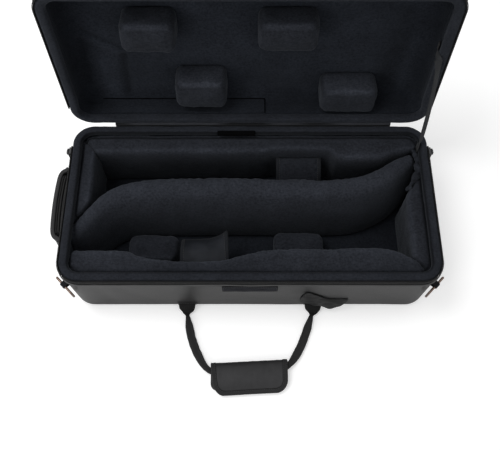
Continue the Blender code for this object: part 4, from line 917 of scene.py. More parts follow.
def add_block(name, x, y, foot, top, lid, seed, corner=0.013, edge=0.010, crown=0.0025, toe=0.0012):
    """Rings of a rounded rectangle from the foot up, over a rounded edge and in across a crowned face."""
    half_x, half_y = (x[1] - x[0]) / 2, (y[1] - y[0]) / 2
    tall = abs(top - foot)
    rows = [(0.0010, 0.0), (0.0002, toe)]
    rows += [(-0.0004 * math.sin(math.pi * k / 8), toe + (tall - edge - toe) * k / 8) for k in range(1, 9)]
    rows += round_edge(tall, edge, quarter(9)[1:])
    inner = np.linspace(edge, half_y - 0.002, 10)[1:]
    rows += [(r, tall + crown * (1 - (1 - (r - edge) / (half_y - edge)) ** 2)) for r in inner]

    def outline(inset):
        flat, _ = rounded_outline(half_x - inset, half_y - inset, max(corner - inset * 0.8, 0.0015), 10, 14, 10)
        return flat + (sum(x) / 2, sum(y) / 2)

    side = 1 if top > foot else -1
    p = stacked([(inset, foot + side * height) for inset, height in rows], outline)
    n = outward_normals(p, False, True)
    rise = np.array([h for _, h in rows])[:, None]
    lift = 0.0006 * folds(p, 0.030, seed) + 0.0002 * folds(p, 0.008, seed + 1)
    lift = lift + 0.0005 * bell(rise, tall - edge * 0.25, 0.0016)
    p = p + n * (lift * step_up(rise, 0.002, 0.010))[..., None]
    # painted light: a painted highlight on the ridge between the upper side and the face, painted shade at the foot,
    # and on the lid's blocks the upper side painted lighter
    ridge = n @ (0, -0.7071, -0.7071 if lid else 0.7071)
    painted_light_and_tone = 0.60 * bell(ridge, 1.0, 0.08) - 0.30 * (1 - step_up(rise, 0.001, 0.012))
    painted_light_and_tone = painted_light_and_tone + 0.75 * step_up(-n[..., 1], 0.6, 0.95) * (1 if lid else 0)
    make_piece(name + "_plush", sealed(stand(p, lid)), PADDING, BODIES[lid], (name,), painted_light_and_tone=painted_light_and_tone)


# Blocks: name, x from and to, y from and to, and the height of the face
FLOOR_BLOCKS = (
    ("floor_block_front_left", (-0.1980, -0.1180), (-0.0700, -0.0262), 0.0500),
    ("floor_block_front_right", (0.0390, 0.1210), (-0.0660, -0.0216), 0.0500),
    ("floor_block_rear_left", (-0.1210, -0.0430), (0.0460, 0.0770), 0.0450),
    ("floor_block_rear_right", (0.1140, 0.1800), (0.0500, 0.0750), 0.0480),
)
LID_BLOCKS = (
    ("lid_block_far_left", (-0.1850, -0.1060), (-0.0640, -0.0130), 0.0115),
    ("lid_block_near_left", (-0.1170, -0.0370), (0.0530, 0.1080), 0.0115),
    ("lid_block_far_right", (0.0120, 0.0980), (-0.0640, -0.0140), 0.0130),
    ("lid_block_near_right", (0.1120, 0.2010), (0.0690, 0.1190), 0.0110),
)
LID_BLOCK_FOOT = 0.0553
for lid, foot, blocks, first_seed in ((False, PAD_FOOT, FLOOR_BLOCKS, 61), (True, LID_BLOCK_FOOT, LID_BLOCKS, 65)):
    for number, (name, x, y, top) in enumerate(blocks):
        add_block(name, x, y, foot, top, lid, first_seed + number)


# Small parts
def plate(half_a, half_b, thick, corner, edge, rings=8):
    """Rings of a rounded rectangle: the under face out to its rim, a rounded edge, and the upper face in again.
    Columns are (a, b, height)."""
    limit = min(half_a, half_b) * 0.97
    rows = [(limit + (edge - limit) * k / 4, 0) for k in range(5)] + [(edge * 0.3, edge * 0.25), (0, edge)]
    rows += round_edge(thick, edge, quarter(5)) + [(r, thick) for r in np.linspace(edge, limit, rings)[1:]]

    def outline(inset):
        return rounded_outline(half_a - inset, half_b - inset, max(corner - inset, limit * 0.01), 5, 12, 8)[0]

    return stacked(rows, outline)


def lay(local, at, a, b):
    """Puts (a, b, height) coordinates into place: a and b along the two directions, height square to both."""
    a, b = unit(np.array(a, float)), unit(np.array(b, float))
    n = np.cross(a, b)
    return np.array(at) + local[..., :1] * a + local[..., 1:2] * b + local[..., 2:] * n


def binding(line, inward, width=0.0058, half=0.0021):
    """Folded tape over the edge of a sheet: a flat rounded section a little thicker than the sheet itself."""
    line = np.asarray(line, float)
    middle = line + unit(inward) * (width / 2 - 0.0006)
    return sealed(carried(middle, unit(inward), rounded_section(width / 2, half, 0.45)))[0]


# Straps that lie over the neck of each trumpet, with paths of (reach from the sewn edge, rise)
STRAP_HALF = 0.0015
FRONT_STRAP_X = (-0.1080, -0.0360)
FRONT_STRAP_PATH = (
    (0.0, 0.0), (0.0070, 0.0030), (0.0170, 0.0040), (0.0270, 0.0005), (0.0350, -0.0060), (0.0420, -0.0150),
)
REAR_STRAP_X = (0.0440, 0.1170)
REAR_STRAP_PATH = (
    (0.0, 0.0), (0.0080, 0.0010), (0.0200, -0.0040), (0.0290, -0.0135), (0.0335, -0.0210), (0.0355, -0.0285),
)


def strap_surface(x, path, edge_y, edge_z, side, curl, seed):
    """Middle surface of a strap: its path carried across, with the free right corner curled up and soft swells."""
    line = smooth_line(path, 44)
    start = np.linspace(1, 0, len(line))[:, None]
    share = np.linspace(0, 1, 48)
    down = (1 - start) ** 2 * share ** 4
    back = 0.0053 * np.sin(math.pi * np.clip(share * 0.9 + 0.08, 0, 1)) * curl
    reach = line[:, :1] + 0.0110 * curl * down - back * bell(1 - start, 0, 0.12)
    rise = line[:, 1:] + 0.0130 * curl * down
    p = np.stack([np.broadcast_to(x[0] + (x[1] - x[0]) * share, reach.shape), edge_y + side * reach, edge_z + rise], -1)
    p[..., 0] += 0.0032 * curl * share * start
    p[..., 2] += 0.0006 * folds(p, 0.040, seed)
    return p


def add_neck_strap(name, x, path, edge_y, edge_z, side, curl, seed):
    """A bound and stitched panel that lies over the neck of one trumpet."""
    p = strap_surface(x, path, edge_y, edge_z, side, curl, seed)
    n = facing(p)
    half = STRAP_HALF * (1 + 0.10 * folds(p, 0.015, seed + 1))
    finish = NECK if curl else PADDING
    make_piece(name + "_panel", [slab(p, half, 0.0016, n)], finish, name, (name,))
    edges = [binding(p[:, 0], p[:, 3] - p[:, 0]), binding(p[:, -1], p[:, -4] - p[:, -1]),
             binding(p[-1], p[-4] - p[-1])]
    make_piece(name + "_binding", edges, BINDING, name)
    on_top = (p + n * (STRAP_HALF + 0.0007))[1:-2]
    rows = [stitches(on_top[:, column], n[1:-2, column].mean(0)) for column in (3, -4)]
    make_piece(name + "_stitches", rows, THREAD, name)


add_neck_strap("neck_strap_front", FRONT_STRAP_X, FRONT_STRAP_PATH, -0.0885, 0.0880, 1, 1.0, 71)
add_neck_strap("neck_strap_rear", REAR_STRAP_X, REAR_STRAP_PATH, 0.0930, 0.0900, -1, 0.0, 75)


# Front handle
HANDLE_Y = -0.1366
HANDLE_Z = 0.0135
# Stations of the left and the right strand: (x, y, z, half width, half thickness)
LEFT_STRAND = (
    (-0.1020, 0.0018, 0.0042, 0.0138, 0.0006), (-0.1022, -0.0050, -0.0048, 0.0120, 0.0010),
    (-0.1024, -0.0095, -0.0088, 0.0072, 0.0016), (-0.1018, -0.0135, -0.0094, 0.0034, 0.0028),
    (-0.1006, -0.0190, -0.0094, 0.0042, 0.0034), (-0.0978, -0.0340, -0.0097, 0.0064, 0.0034),
    (-0.0938, -0.0500, -0.0095, 0.0066, 0.0035), (-0.0880, -0.0660, -0.0090, 0.0066, 0.0035),
    (-0.0800, -0.0825, -0.0080, 0.0064, 0.0032), (-0.0690, -0.0980, -0.0062, 0.0048, 0.0028),
    (-0.0540, -0.1050, -0.0054, 0.0050, 0.0026),
)
RIGHT_STRAND = (
    (0.1020, 0.0018, 0.0042, 0.0138, 0.0006), (0.1020, -0.0050, -0.0048, 0.0120, 0.0010),
    (0.1014, -0.0095, -0.0088, 0.0072, 0.0016), (0.1002, -0.0135, -0.0094, 0.0034, 0.0028),
    (0.0985, -0.0190, -0.0094, 0.0042, 0.0034), (0.0930, -0.0340, -0.0097, 0.0064, 0.0034),
    (0.0872, -0.0500, -0.0095, 0.0066, 0.0035), (0.0806, -0.0650, -0.0090, 0.0066, 0.0035),
    (0.0722, -0.0800, -0.0080, 0.0064, 0.0032), (0.0630, -0.0920, -0.0062, 0.0048, 0.0028),
    (0.0540, -0.0975, -0.0054, 0.0050, 0.0026),
)


def strand_grid():
    """The webbing from one anchor to the other: a flat band that folds over into a narrow strand with a groove."""
    s = smooth_line(LEFT_STRAND + RIGHT_STRAND[::-1], 320)
    path = s[:, :3] + (0, HANDLE_Y, HANDLE_Z)
    across = unit(np.cross((0, 0, 1), unit(np.gradient(path, axis=0))))
    section = rounded_section(1, 1, 0.62, 40)
    narrow = 1 - step_up(s[:, 3], 0.0068, 0.0100)
    groove = 0.30 * narrow[:, None] * bell(around(40), math.pi * 0.42, 0.22)
    p = carried(path, across, section * s[:, None, 3:5] * (1 - groove[..., None] * (0, 1)))
    # painted shadow on the webbing where it folds out from under the wall
    shade = np.broadcast_to(-0.70 * step_up(path[:, 1:2] - HANDLE_Y, -0.0190, -0.0120), p.shape[:2])
    return pushed(p, 0.00025 * folds(p, 0.010, 81)), shade


strand, strand_shade = strand_grid()
strand_piece = make_piece("front_handle_strand", sealed(strand), STRAPS, None, ("front_handle_webbing",),
                          painted_light_and_tone=strand_shade)
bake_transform(strand_piece)

# The wrap: a flat sheet of cloth, folded along its middle line over the strand
GRIP_HALF = 0.0600
GRIP_CORNER = 0.0190
GRIP_FOLD = 0.0400
GRIP_PATH = (
    (-0.1290, -0.0107), (-0.1200, -0.0109), (-0.1080, -0.0111), (-0.0970, -0.0109), (-0.0905, -0.0087),
    (-0.0886, -0.0053), (-0.0905, -0.0017), (-0.0970, 0.0002), (-0.1080, 0.0003), (-0.1200, -0.0015),
    (-0.1300, -0.0045), (-0.1372, -0.0068),
)
GRIP_LINE = smooth_line(GRIP_PATH, 300)
GRIP_WAY = distances(GRIP_LINE)
GRIP_LENGTH = GRIP_WAY[-1]


def grip_place(a, v):
    """Where a point of the flat sheet lies: a across it, v along it from its hidden edge. It sits a little askew."""
    y = np.interp(v, GRIP_WAY, GRIP_LINE[:, 0])
    z = np.interp(v, GRIP_WAY, GRIP_LINE[:, 1])
    over = step_up(v, GRIP_FOLD, GRIP_LENGTH)
    x = a + 0.0060 * over * (a < 0) * np.abs(a) / GRIP_HALF - 0.0015
    p = np.stack([x, HANDLE_Y + y + 0.050 * a - 0.0012, HANDLE_Z + z], -1)
    p[..., 2] += 0.0006 * folds(p, 0.045, 85) * over
    return p


def round_corner(past, radius):
    """How much a straight side draws in, that far into a corner of this radius."""
    return radius - np.sqrt(np.maximum(radius ** 2 - past ** 2, 0))


def grip_sheet(rows, columns):
    v = np.linspace(0, GRIP_LENGTH, rows)
    under, over = np.clip(0.012 - v, 0, None), np.clip(v - (GRIP_LENGTH - GRIP_CORNER), 0, None)
    short = round_corner(under, 0.0120) + round_corner(over, GRIP_CORNER)
    a = np.linspace(-1, 1, columns)[None, :] * (GRIP_HALF - short[:, None])
    return grip_place(a, np.broadcast_to(v[:, None], a.shape))


def grip_edge(inset):
    """A line round the free edge of the upper layer, that far inside it."""
    corner = GRIP_CORNER - inset
    straight, turn, span = GRIP_LENGTH - GRIP_CORNER, quarter(22), np.linspace(-1, 1, 40)[1:-1]
    side = [np.full(24, -GRIP_HALF + inset), np.linspace(GRIP_FOLD, straight, 24)]
    round_it = [-GRIP_HALF + GRIP_CORNER - corner * np.cos(turn), straight + corner * np.sin(turn)]
    front = [span * (GRIP_HALF - GRIP_CORNER), np.full(38, GRIP_LENGTH - inset)]
    side, round_it, front = (np.column_stack(part) for part in (side, round_it, front))
    flat = np.vstack([side, round_it, front, round_it[::-1] * (-1, 1), side[::-1] * (-1, 1)])
    return grip_place(flat[:, 0], flat[:, 1])


def add_grip():
    p = grip_sheet(90, 90)
    half = 0.00150 * (1 + 0.10 * folds(p, 0.012, 87))
    row = np.arange(90)[:, None]
    # a band of painted highlight toward the free edge of the wrap, and a band of painted shade across its middle
    shade = np.broadcast_to(0.32 * bell(row, 66, 9) - 0.30 * bell(row, 44, 7), p.shape[:2])
    make_piece("front_handle_wrap", [slab(p, half, 0.0018, facing(p))], GRIP, "front_handle",
               ("front_handle_grip",), painted_light_and_tone=doubled(shade))
    band = np.stack([grip_edge(inset) for inset in np.linspace(-0.0004, 0.0085, 9)], 1)
    up = facing(band)
    half = 0.0018 * (1 + 0.12 * folds(band, 0.008, 88))
    # painted shade as a dark line along the binding's inner edge
    groove = np.broadcast_to(-0.75 * bell(np.arange(9), 7.3, 0.8), band.shape[:2])
    make_piece("front_handle_binding", [slab(band + up * 0.0002, half, 0.0012, up)], EDGING, "front_handle",
               painted_light_and_tone=doubled(groove))
    on_top = (band + up * 0.0024)[2:-2]
    rows = [stitches(on_top[:, column], (0, 0, 1)) for column in (1, 6)]
    make_piece("front_handle_stitches", rows, THREAD, "front_handle")


add_grip()


def box_stitch(half_a, half_b, lift):
    """The closed line of a stitched box and its two diagonals, as separate (a, b, height) lines."""
    corners = np.array([(-half_a, -half_b), (half_a, -half_b), (half_a, half_b), (-half_a, half_b)])
    lines = [np.array([corners[k], corners[(k + 1) % 4]]) for k in range(4)]
    lines += [corners[[0, 2]], corners[[1, 3]]]
    return [np.column_stack([smooth_line(line, 12), np.full(12, lift)]) for line in lines]


def add_sewn_patch(name, half_a, half_b, thick, at, a, b, body, finish, inset=0.0022):
    """A flat patch of webbing or cloth with a stitched box. It replaces the node of its name."""
    p = lay(plate(half_a, half_b, thick, 0.0012, 0.0005), at, a, b)
    make_piece(name + "_cloth", sealed(p), finish, body, (name,))
    lines = box_stitch(half_a - inset, half_b - inset, thick + 0.0002)
    rows = [stitches(lay(line, at, a, b), np.cross(a, b)) for line in lines]
    make_piece(name + "_stitches", rows, THREAD, body)


RIGHT = np.array([1.0, 0, 0])
UP = np.array([0, 0, 1.0])
FRONTWARD = np.array([0, -1.0, 0])
FRONT_FACE = -HALF_WIDTH - GAP
SIDES = ((-1, "left"), (1, "right"))
for side, tag in SIDES:
    place = (side * 0.1020, FRONT_FACE, 0.0150)
    add_sewn_patch("handle_anchor_" + tag, 0.0155, 0.0055, 0.0008, place, RIGHT, UP, "base", COVER)


# Loose fold of the cover over the right anchor: rows of (x, lowest, highest, bulge)
FLAP_ROWS = (
    (0.0800, 0.0300, 0.0500, 0.0004), (0.0880, 0.0270, 0.0780, 0.0030), (0.1000, 0.0230, 0.0700, 0.0046),
    (0.1130, 0.0190, 0.0560, 0.0056), (0.1240, 0.0130, 0.0460, 0.0070), (0.1350, 0.0120, 0.0430, 0.0070),
    (0.1460, 0.0190, 0.0430, 0.0048), (0.1560, 0.0320, 0.0420, 0.0004),
)
FLAP_PROFILE = ((0.0, 0.62), (0.2, 1.0), (0.5, 0.85), (0.8, 0.45), (1.0, 0.0))


def add_handle_flap():
    """Rows smoothed along the wall and profiles smoothed up it; the bulge dies away towards the sewn top."""
    rows = smooth_line(FLAP_ROWS, 70)
    profile = smooth_line(FLAP_PROFILE, 40)
    up, out = profile[None, :, 0], profile[None, :, 1]
    off = GAP + 0.0008 + np.maximum(rows[:, 3:] * out, 0)
    z = rows[:, 1:2] + (rows[:, 2:3] - rows[:, 1:2]) * up
    p = np.stack([np.broadcast_to(rows[:, :1], z.shape), -HALF_WIDTH - off, z], -1)
    p[..., 1] -= 0.0006 * (1 + folds(p, 0.012, 91)) * np.clip(rows[:, 3:] / 0.006, 0, 1)
    # painted shade in the dip of the bulge and along a crease above it
    painted_hollow_shade = -0.75 * bell(p[..., 0], 0.1440, 0.0120) * bell(p[..., 2], 0.0330, 0.0060)
    painted_hollow_shade = painted_hollow_shade - 0.55 * crease(p, (0.0840, -0.134, 0.0640), (0.1350, -0.138, 0.0400), 0.0040)
    sheet = slab(p, 0.00065, 0.0008, facing(p, FRONTWARD))
    piece = make_piece("handle_flap_fold", [sheet], FOLD, "base", ("handle_flap",), painted_light_and_tone=doubled(painted_hollow_shade))


add_handle_flap()


# Handle on the left end, with a path of (distance along the wall, distance off the wall)
END_Y = 0.0090
END_Z = 0.0780
END_FACE = -HALF_LENGTH - GAP
END_PATH = (
    (0.0640, 0.0110), (0.0605, 0.0135), (0.0570, 0.0190), (0.0500, 0.0226), (0.0360, 0.0243), (0.0180, 0.0252),
    (0.0, 0.0255), (-0.0180, 0.0252), (-0.0360, 0.0243), (-0.0500, 0.0226), (-0.0570, 0.0190), (-0.0605, 0.0135),
    (-0.0640, 0.0110),
)


def end_band(half_wall, half_height, lift, trim, waves, seed, count=170):
    """A band carried along the handle's arch: a rounded flat section, lift off its middle line. Also gives that line
    and the direction out of the wall along it."""
    line = smooth_line(END_PATH, count)[trim : count - trim]
    path = np.column_stack([END_FACE - line[:, 1], END_Y + line[:, 0], np.full(len(line), END_Z)])
    out = np.cross(unit(np.gradient(path, axis=0)), UP)
    out = out * np.sign(-out[len(out) // 2, 0])
    path = path + out * lift
    p = carried(path, np.broadcast_to(UP, path.shape), rounded_section(half_height, half_wall, 0.35, 36))
    return pushed(p, waves * folds(p, 0.018, seed)), path, out


# Ribs: (lift off the band's middle line, height over it)
RIBS = ((-0.0048, 0.0138), (-0.0088, 0.0146), (-0.0128, 0.0138))
RIB_TRIM = slice(20, -20)


def add_end_handle():
    p, path, out = end_band(0.0030, 0.0158, 0.0, 0, 0.0003, 93)
    make_piece("end_handle_band", sealed(p), COVER, "base", ("end_handle_strap",))
    cord = rounded_section(0.0036, 0.0026, 0.6, 14)
    edges = [sealed(carried(path + (0, 0, side * 0.0148), out, cord))[0] for side in (-1, 1)]
    make_piece("end_handle_piping", edges, GRIP, "base")
    on_top = (path + out * 0.0026)[3:-3]
    rows = [stitches(on_top + (0, 0, side * 0.0105), (-1, 0, 0)) for side in (-1, 1)]
    make_piece("end_handle_stitches", rows, THREAD, "base")
    inner = end_band(0.0050, 0.0128, -0.0085, 16, 0.0006, 94)[0]
    make_piece("end_handle_lining", sealed(inner), HINGE, "base")
    ribs = []
    for lift, level in RIBS:
        line = (path + out * lift)[RIB_TRIM] + (0, 0, level)
        ribs += sealed(carried(line, out[RIB_TRIM], rounded_section(0.0013, 0.0012, 0.8, 8)))
    make_piece("end_handle_ribs", ribs, STRAPS, "base")
    p = lay(plate(0.0630, 0.0170, 0.0030, 0.0060, 0.0009), (END_FACE, END_Y, END_Z), FRONTWARD, UP)
    make_piece("end_handle_backing", sealed(p), COVER, "base", ("end_handle_plate",))
    for side, tag in ((-1, "front"), (1, "rear")):
        at = (END_FACE - 0.0033, END_Y + side * 0.0555, END_Z)
        add_sewn_patch("end_handle_block_" + tag, 0.0074, 0.0168, 0.0060, at, FRONTWARD, UP, "base", STRAPS)


add_end_handle()


# Corner rings, each hanging from its tab
RING_WIRE = 0.0019
RING_HALF = 0.0170
RING_STRAIGHT = 0.0160
RING_OUT = 0.0400
RING_Z = 0.0960
RING_BEND = 0.0022


def corner_frame(side):
    """Middle of the case's corner arc, the direction along its face and the direction out of it."""
    turn = side * math.pi / 4
    middle = np.array([side * (HALF_LENGTH - CORNER), -HALF_WIDTH + CORNER, 0])
    return middle, np.array([math.cos(turn), math.sin(turn), 0]), np.array([math.sin(turn), -math.cos(turn), 0])


def ring_line():
    """The D: a straight bar with small bends into two sides, and a half circle below. Columns are (a, height)."""
    t = np.linspace(math.pi, TURN, 40)
    bow = np.column_stack([RING_HALF * np.cos(t), -RING_STRAIGHT + RING_HALF * np.sin(t)])
    r, q = RING_BEND, quarter(7)
    bend = np.column_stack([RING_HALF - r + r * np.cos(q), -r + r * np.sin(q)])
    side = np.column_stack([np.full(6, RING_HALF), np.linspace(-RING_STRAIGHT, -r, 8)[1:-1]])
    bar = np.column_stack([np.linspace(RING_HALF - r, -RING_HALF + r, 20)[1:-1], np.zeros(18)])
    return np.vstack([bow, side, bend, bar, bend[::-1] * (-1, 1), side[::-1] * (-1, 1)])


# The tab's loop, as (out, height) from the ring's bar: down the wall, round the bar and back
TAB_START = ((-0.0058, 0.0148), (-0.0058, 0.0080), (-0.0056, 0.0052), (-0.0028, 0.0036))
TAB_END = ((-0.0030, -0.0036), (-0.0058, -0.0042), (-0.0060, -0.0030))
TAB_EYE = 0.0030
TAB_HALF = 0.0048


def add_corner_rings():
    t = np.linspace(-1.25, 1.25, 24)
    eye = np.column_stack([np.cos(t * 1.45), np.sin(t * 1.45)]) * TAB_EYE
    loop = smooth_line(np.vstack([TAB_START, eye[::-1], TAB_END]), 70)
    flat = ring_line()
    for side, tag in SIDES:
        middle, along, out = corner_frame(side)
        bar = middle + out * RING_OUT + (0, 0, RING_Z)
        wire = tube(bar + flat[:, :1] * along + flat[:, 1:] * UP, RING_WIRE, out, 14, True)
        make_piece("d_ring_" + tag + "_wire", [wire], RING, "d_ring_" + tag, ("d_ring_" + tag,))
        rows = np.linspace(-TAB_HALF, TAB_HALF, 16)[:, None, None]
        p = bar + rows * along + loop[None, :, :1] * out + loop[None, :, 1:] * UP
        name = "d_ring_tab_" + tag
        make_piece(name + "_loop", [slab(p, 0.00070, 0.0007)], HINGE, "base", (name,))


add_corner_rings()


# Zipper, round the front and both ends
TAPE_INSET = 0.0017
TAPE_WALL = 0.0012
TAPE_END_Y = 0.0950
TAPE_SECTION = np.array([  # (share of its thickness, z)
    (0, 0.1173), (0.5, 0.1170), (1, 0.1173), (1, 0.1200), (1, 0.1250), (1, 0.1290), (0.5, 0.1296), (0, 0.1290),
    (0, 0.1250), (0, 0.1200),
])
TOOTH_PITCH = 0.0017
TOOTH_RADIUS = 0.00045
TOOTH_MIDDLE = 0.1265
TOOTH_RISE = 0.0017
RIM_GAP = 0.0004


def open_rim(step):
    """Even points from the back of the left side round the front to the back of the right side, with the outward
    direction at each."""
    a, b, r = HALF_LENGTH, HALF_WIDTH, CORNER
    t = quarter(60)
    left = np.array([[-a, TAPE_END_Y, math.pi], [-a, -b + r, math.pi]])
    first = np.column_stack([-a + r - r * np.cos(t), -b + r - r * np.sin(t), math.pi + t])
    second = np.column_stack([a - r + r * np.sin(t), -b + r - r * np.cos(t), 1.5 * math.pi + t])
    right = np.array([[a, TAPE_END_Y, TURN]])
    line = np.vstack([left, first[1:], second, right])
    way = distances(line[:, :2])
    where = np.linspace(0, way[-1], int(way[-1] / step) + 1)
    x, y, angle = (np.interp(where, way, line[:, k]) for k in range(3))
    return np.column_stack([x, y]), np.column_stack([np.cos(angle), np.sin(angle)]), where


def to_half(p, lid):
    """The lid's rim is the base's turned over."""
    if lid:
        p[..., 2] = RIM_HEIGHT + RIM_GAP - p[..., 2]
    return stand(p, lid)


def rim_sweep(section, step, lid, sway=None):
    """A closed (out, z) section carried round the open rim."""
    flat, out, way = open_rim(step)
    p = np.empty((len(flat), len(section), 3))
    p[..., :2] = flat[:, None] + out[:, None] * section[None, :, :1]
    p[..., 2] = section[None, :, 1] + (sway(way)[:, None] if sway else 0)
    return to_half(p, lid)


def add_zipper(body, lid):
    """A woven tape, and on it a coil of small bowed cords, one to each tooth."""
    make_piece(body + "_tape", sealed(rim_sweep(TAPE_SECTION * (TAPE_WALL, 1) - (TAPE_INSET, 0), 0.004, lid)), TAPE_PAINTED_DARK,
               body, (body + "_zipper_tape",))
    flat, out, _ = open_rim(TOOTH_PITCH)
    along = np.column_stack([-out[:, 1], out[:, 0]])
    flat, out, along = flat[:, None, None], out[:, None, None], along[:, None, None]
    t = np.linspace(-1, 1, 6)
    ring = rounded_section(TOOTH_RADIUS, TOOTH_RADIUS, 1.0, 6)
    reach = -TAPE_INSET + TAPE_WALL + 0.0003 + 0.0009 * np.sqrt(1 - t ** 2 * 0.8)
    p = np.empty((len(flat), 6, 6, 3))
    p[..., :2] = flat + out * (reach[:, None] + ring[:, 0])[..., None] + along * ring[:, 1, None]
    p[..., 2] = (TOOTH_MIDDLE + TOOTH_RISE * t)[:, None]
    make_piece(body + "_teeth", [copies(to_half(p, lid))], COIL_PAINTED_DARK, body)


def add_piping(body, lid):
    """A covered cord along the top of the wall, which wanders a little up and down."""
    t = np.linspace(-0.5 * math.pi, 1.5 * math.pi, 16, endpoint=False)
    section = np.column_stack([GAP + 0.0002 + np.maximum(np.cos(t), -0.1) * 0.0017, 0.1158 + 0.0020 * np.sin(t)])

    def sway(way):
        lifted = 0.0017 * bell(way, 0.450, 0.034) - 0.0010 * bell(way, 0.503, 0.018) + 0.0014 * bell(way, 0.572, 0.045)
        return 0.0003 * np.sin(way * 41 + lid) + 0.0002 * np.sin(way * 97) + lifted

    make_piece(body + "_piping_cord", sealed(rim_sweep(section, 0.003, lid, sway)), PIPING_PAINTED_LIGHTER, body,
               (body + "_piping",))


for lid, body in enumerate(BODIES):
    add_zipper(body, lid)
    add_piping(body, lid)


# Hinge strip and stay strap, which bend between the base and the lid
HINGE_X = (-0.2200, 0.2300)
HINGE_PATH = (
    (0.1338, 0.1176), (0.1342, 0.1230), (0.1346, 0.1275), (0.1353, 0.1300), (0.1366, 0.1310), (0.1400, 0.1306),
    (0.1450, 0.1303),
)
# Stations of the stay strap: (x, y, z) and the direction its flat side lies in
STAY = (
    (0.2764, 0.1794, 0.2758, 0.0, 0.13, 0.99), (0.2763, 0.1735, 0.2766, 0.0, 0.13, 0.99),
    (0.2722, 0.1690, 0.2772, 0.0, 0.13, 0.99), (0.2700, 0.1655, 0.2776, 0.0, 0.13, 0.99),
    (0.2700, 0.1570, 0.2788, 0.15, 0.20, 0.97), (0.2704, 0.1515, 0.2780, 0.45, 0.45, 0.77),
    (0.2714, 0.1480, 0.2720, 0.62, 0.62, 0.48), (0.2724, 0.1430, 0.2610, 0.62, 0.72, 0.32),
    (0.2736, 0.1330, 0.2330, 0.62, 0.74, 0.26), (0.2748, 0.1190, 0.1900, 0.68, 0.70, 0.22),
    (0.2744, 0.1060, 0.1520, 0.72, 0.68, 0.12), (0.2716, 0.0960, 0.1370, 0.45, 0.89, 0.0),
    (0.2698, 0.0935, 0.1290, 0.0, 1.0, 0.0), (0.2699, 0.0930, 0.1195, 0.0, 1.0, 0.0),
)


def add_hinge_strip():
    line = smooth_line(HINGE_PATH, 30)
    p = np.empty((30, 150, 3))
    p[..., 0] = np.linspace(*HINGE_X, 150)
    p[..., 1:] = line[:, None]
    n = facing(p, (0, 1, 0))
    p = p + n * (0.0002 * folds(p, 0.030, 95))[..., None]
    # painted glints: lighter stretches along the strip that stand for the white background seen through the gap above
    # it
    wear_and_painted_light = bell(np.arange(30)[:, None], 17, 2.2) * np.clip(folds(p * (1, 0, 0), 0.110, 96) * 2 + 0.6, 0, 1) * 5.0
    sheet = slab(p, 0.0005, 0.0008, n)
    piece = make_piece("hinge_strip_cloth", [sheet], HINGE, None, ("hinge_strip",), painted_light_and_tone=doubled(wear_and_painted_light))
    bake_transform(piece)


def add_stay_strap():
    s = smooth_line(STAY, 150)
    p = carried(s[:, :3], unit(s[:, 3:]), rounded_section(0.0058, 0.0007, 0.35, 28))
    piece = make_piece("stay_strap_webbing", sealed(p), STAY_WEB, None, ("stay_strap",))
    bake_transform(piece)


add_hinge_strip()
add_stay_strap()


# Flat trims
def lid_place(x, y, z):
    return open_lid(np.array([x, y, z], float))


LID_OUT = lid_place(0, 0, 1) - lid_place(0, 0, 0)
LID_BACK = lid_place(0, 1, 0) - lid_place(0, 0, 0)
add_sewn_patch("stay_strap_patch", 0.0071, 0.0036, 0.0012, lid_place(0.2752, -0.0170, 0.02535), -LID_BACK, LID_OUT,
               "lid", STRAPS, inset=0.0014)


def add_front_patch():
    at = (0, FRONT_FACE, 0.0985)
    p = lay(plate(0.0420, 0.0122, 0.0013, 0.0020, 0.0005, 14), at, RIGHT, UP)
    p[..., 1] -= 0.0002 * (1 + folds(p, 0.018, 97)) * (p[..., 1] < FRONT_FACE - 0.0010)
    make_piece("front_patch_pile", sealed(p), LOOPS, "base", ("front_patch",))
    frame_lines = box_stitch(0.0400, 0.0096, 0.0016)[:4]
    rows = [stitches(lay(line, at, RIGHT, UP), FRONTWARD) for line in frame_lines]
    make_piece("front_patch_stitches", rows, THREAD, "base")


TAG_OFF = 0.0009  # how far the tag stands off the roll


def add_rear_tag():
    """A short strip over the back of the rim roll, bent along the roll's own section."""
    angle = np.radians(np.linspace(96, 174, 24))
    p = np.empty((24, 40, 3))
    p[..., 0] = np.linspace(-0.0530, 0.0080, 40)
    out = bent(np.cos(angle), 0.62) * ROLL_HALF_WIDTH
    up = bent(np.sin(angle), 0.62) * ROLL_HALF_HEIGHT
    p[..., 1] = (HALF_WIDTH - ROLL_INSET + out + TAG_OFF * np.cos(angle))[:, None]
    p[..., 2] = (ROLL_MIDDLE + up + TAG_OFF * np.sin(angle))[:, None]
    make_piece("rear_rim_tag_strip", [slab(p, 0.0003, 0.0005, facing(p))], TAG_AND_SHADOW_LINE, "base", ("rear_rim_tag",))


def add_lid_flap():
    """A stitched pocket panel on the lid's rear wall, with thin black tubes along its free edges as a painted shadow
    line.
    """
    at = lid_place(-0.1090, 0.1226, 0.0300)
    p = plate(0.1330, 0.0140, 0.0017, 0.0030, 0.0007, 16)
    p[..., 2] += 0.00025 * folds(p, 0.030, 99) * (p[..., 2] > 0.0016)
    p = lay(p, at, RIGHT, LID_OUT if np.cross(RIGHT, LID_OUT) @ LID_BACK < 0 else -LID_OUT)
    make_piece("lid_flap_panel_plush", sealed(p), LINING, "lid", ("lid_flap_panel",))
    top = [lid_place(x, 0.1200, 0.0444) for x in np.linspace(-0.2425, 0.0245, 90)]
    right = [lid_place(0.0243, y, z) for y, z in ((0.1200, 0.0444), (0.1212, 0.0400), (0.1212, 0.0160))]
    # painted shadow: black tubes in the gap along the flap's top and right edges
    gaps = [tube(np.array(line), 0.0008, (0, 0.3, 1), 8) for line in (top, right)]
    make_piece("lid_flap_painted_shadow_line", gaps, TAG_AND_SHADOW_LINE, "lid")


add_front_patch()
add_rear_tag()
add_lid_flap()

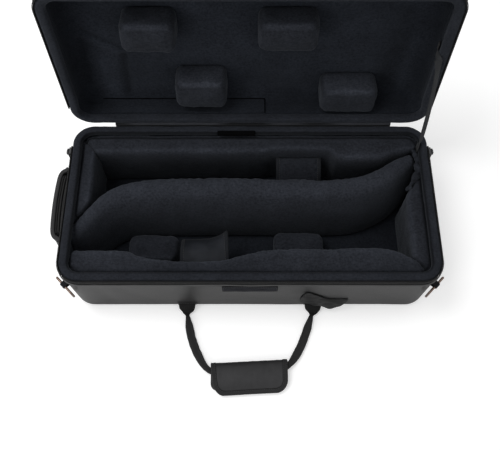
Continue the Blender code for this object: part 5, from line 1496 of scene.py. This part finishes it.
# CAD nodes that stay: the boards between cover and lining, the sliders and their pulls
for name, finish in (
    ("base_frame", BOARD), ("lid_frame", BOARD), ("zipper_slider_left", SLIDER), ("zipper_slider_right", SLIDER),
    ("zipper_pull_left", SLIDER), ("zipper_pull_right", SLIDER),
):
    node = bpy.data.objects[name]
    node.data.materials.clear()
    node.data.materials.append(finish)


# Stage
def add_floor(reach=4.0):
    """A wide pale floor, seen as white by the camera, that still takes the shadow."""
    mesh = bpy.data.meshes.new("floor")
    corners = [(x * reach, y * reach, 0) for x, y in ((-1, -1), (1, -1), (1, 1), (-1, 1))]
    mesh.from_pydata(corners, [], [(0, 1, 2, 3)])
    f = Finish("floor_paint")
    seen = f.add("LightPath", output=0)
    f.set(base_color=(0.80, 0.80, 0.80, 1), roughness=0.9, specular_ior_level=0.1, emission_strength=1.0)
    join(f.tree, f.shader.inputs["Emission Color"], f.blend(seen, (0.0, 0.0, 0.0), (0.42, 0.42, 0.42)))
    mesh.materials.append(f.material)
    floor = new_object("floor", mesh)


def add_world():
    world = bpy.data.worlds.new("studio")
    bpy.context.scene.world = world
    world.use_nodes = True
    tree = world.node_tree
    shader = tree.nodes["Background"]
    path = tree.nodes.new("ShaderNodeLightPath")
    seen = Wire(tree, path.outputs["Is Camera Ray"])
    bright = seen.math("MAXIMUM", Wire(tree, path.outputs["Is Glossy Ray"]))
    bright = bright.math("MAXIMUM", Wire(tree, path.outputs["Is Transmission Ray"]))
    join(tree, shader.inputs["Strength"], bright * 0.42 + 0.58)
    shader.inputs["Color"].default_value = (1, 1, 1, 1)


def add_lamp(name, place, target, size, power):
    data = bpy.data.lights.new(name, "AREA")
    data.shape = "DISK"
    data.size = size
    data.energy = power
    lamp = new_object(name, data)
    lamp.location = place
    away = Vector(target) - Vector(place)
    lamp.rotation_euler = away.to_track_quat("-Z", "Y").to_euler()


add_floor()
add_world()
add_lamp("lamp_above", (-0.75, 0.10, 1.90), (0, 0, 0.1), 0.9, 15.0)
add_lamp("lamp_front", (-1.25, -1.20, 0.80), (-0.1, 0, 0.1), 0.8, 6.5)
bpy.context.scene.view_settings.view_transform = "Standard"
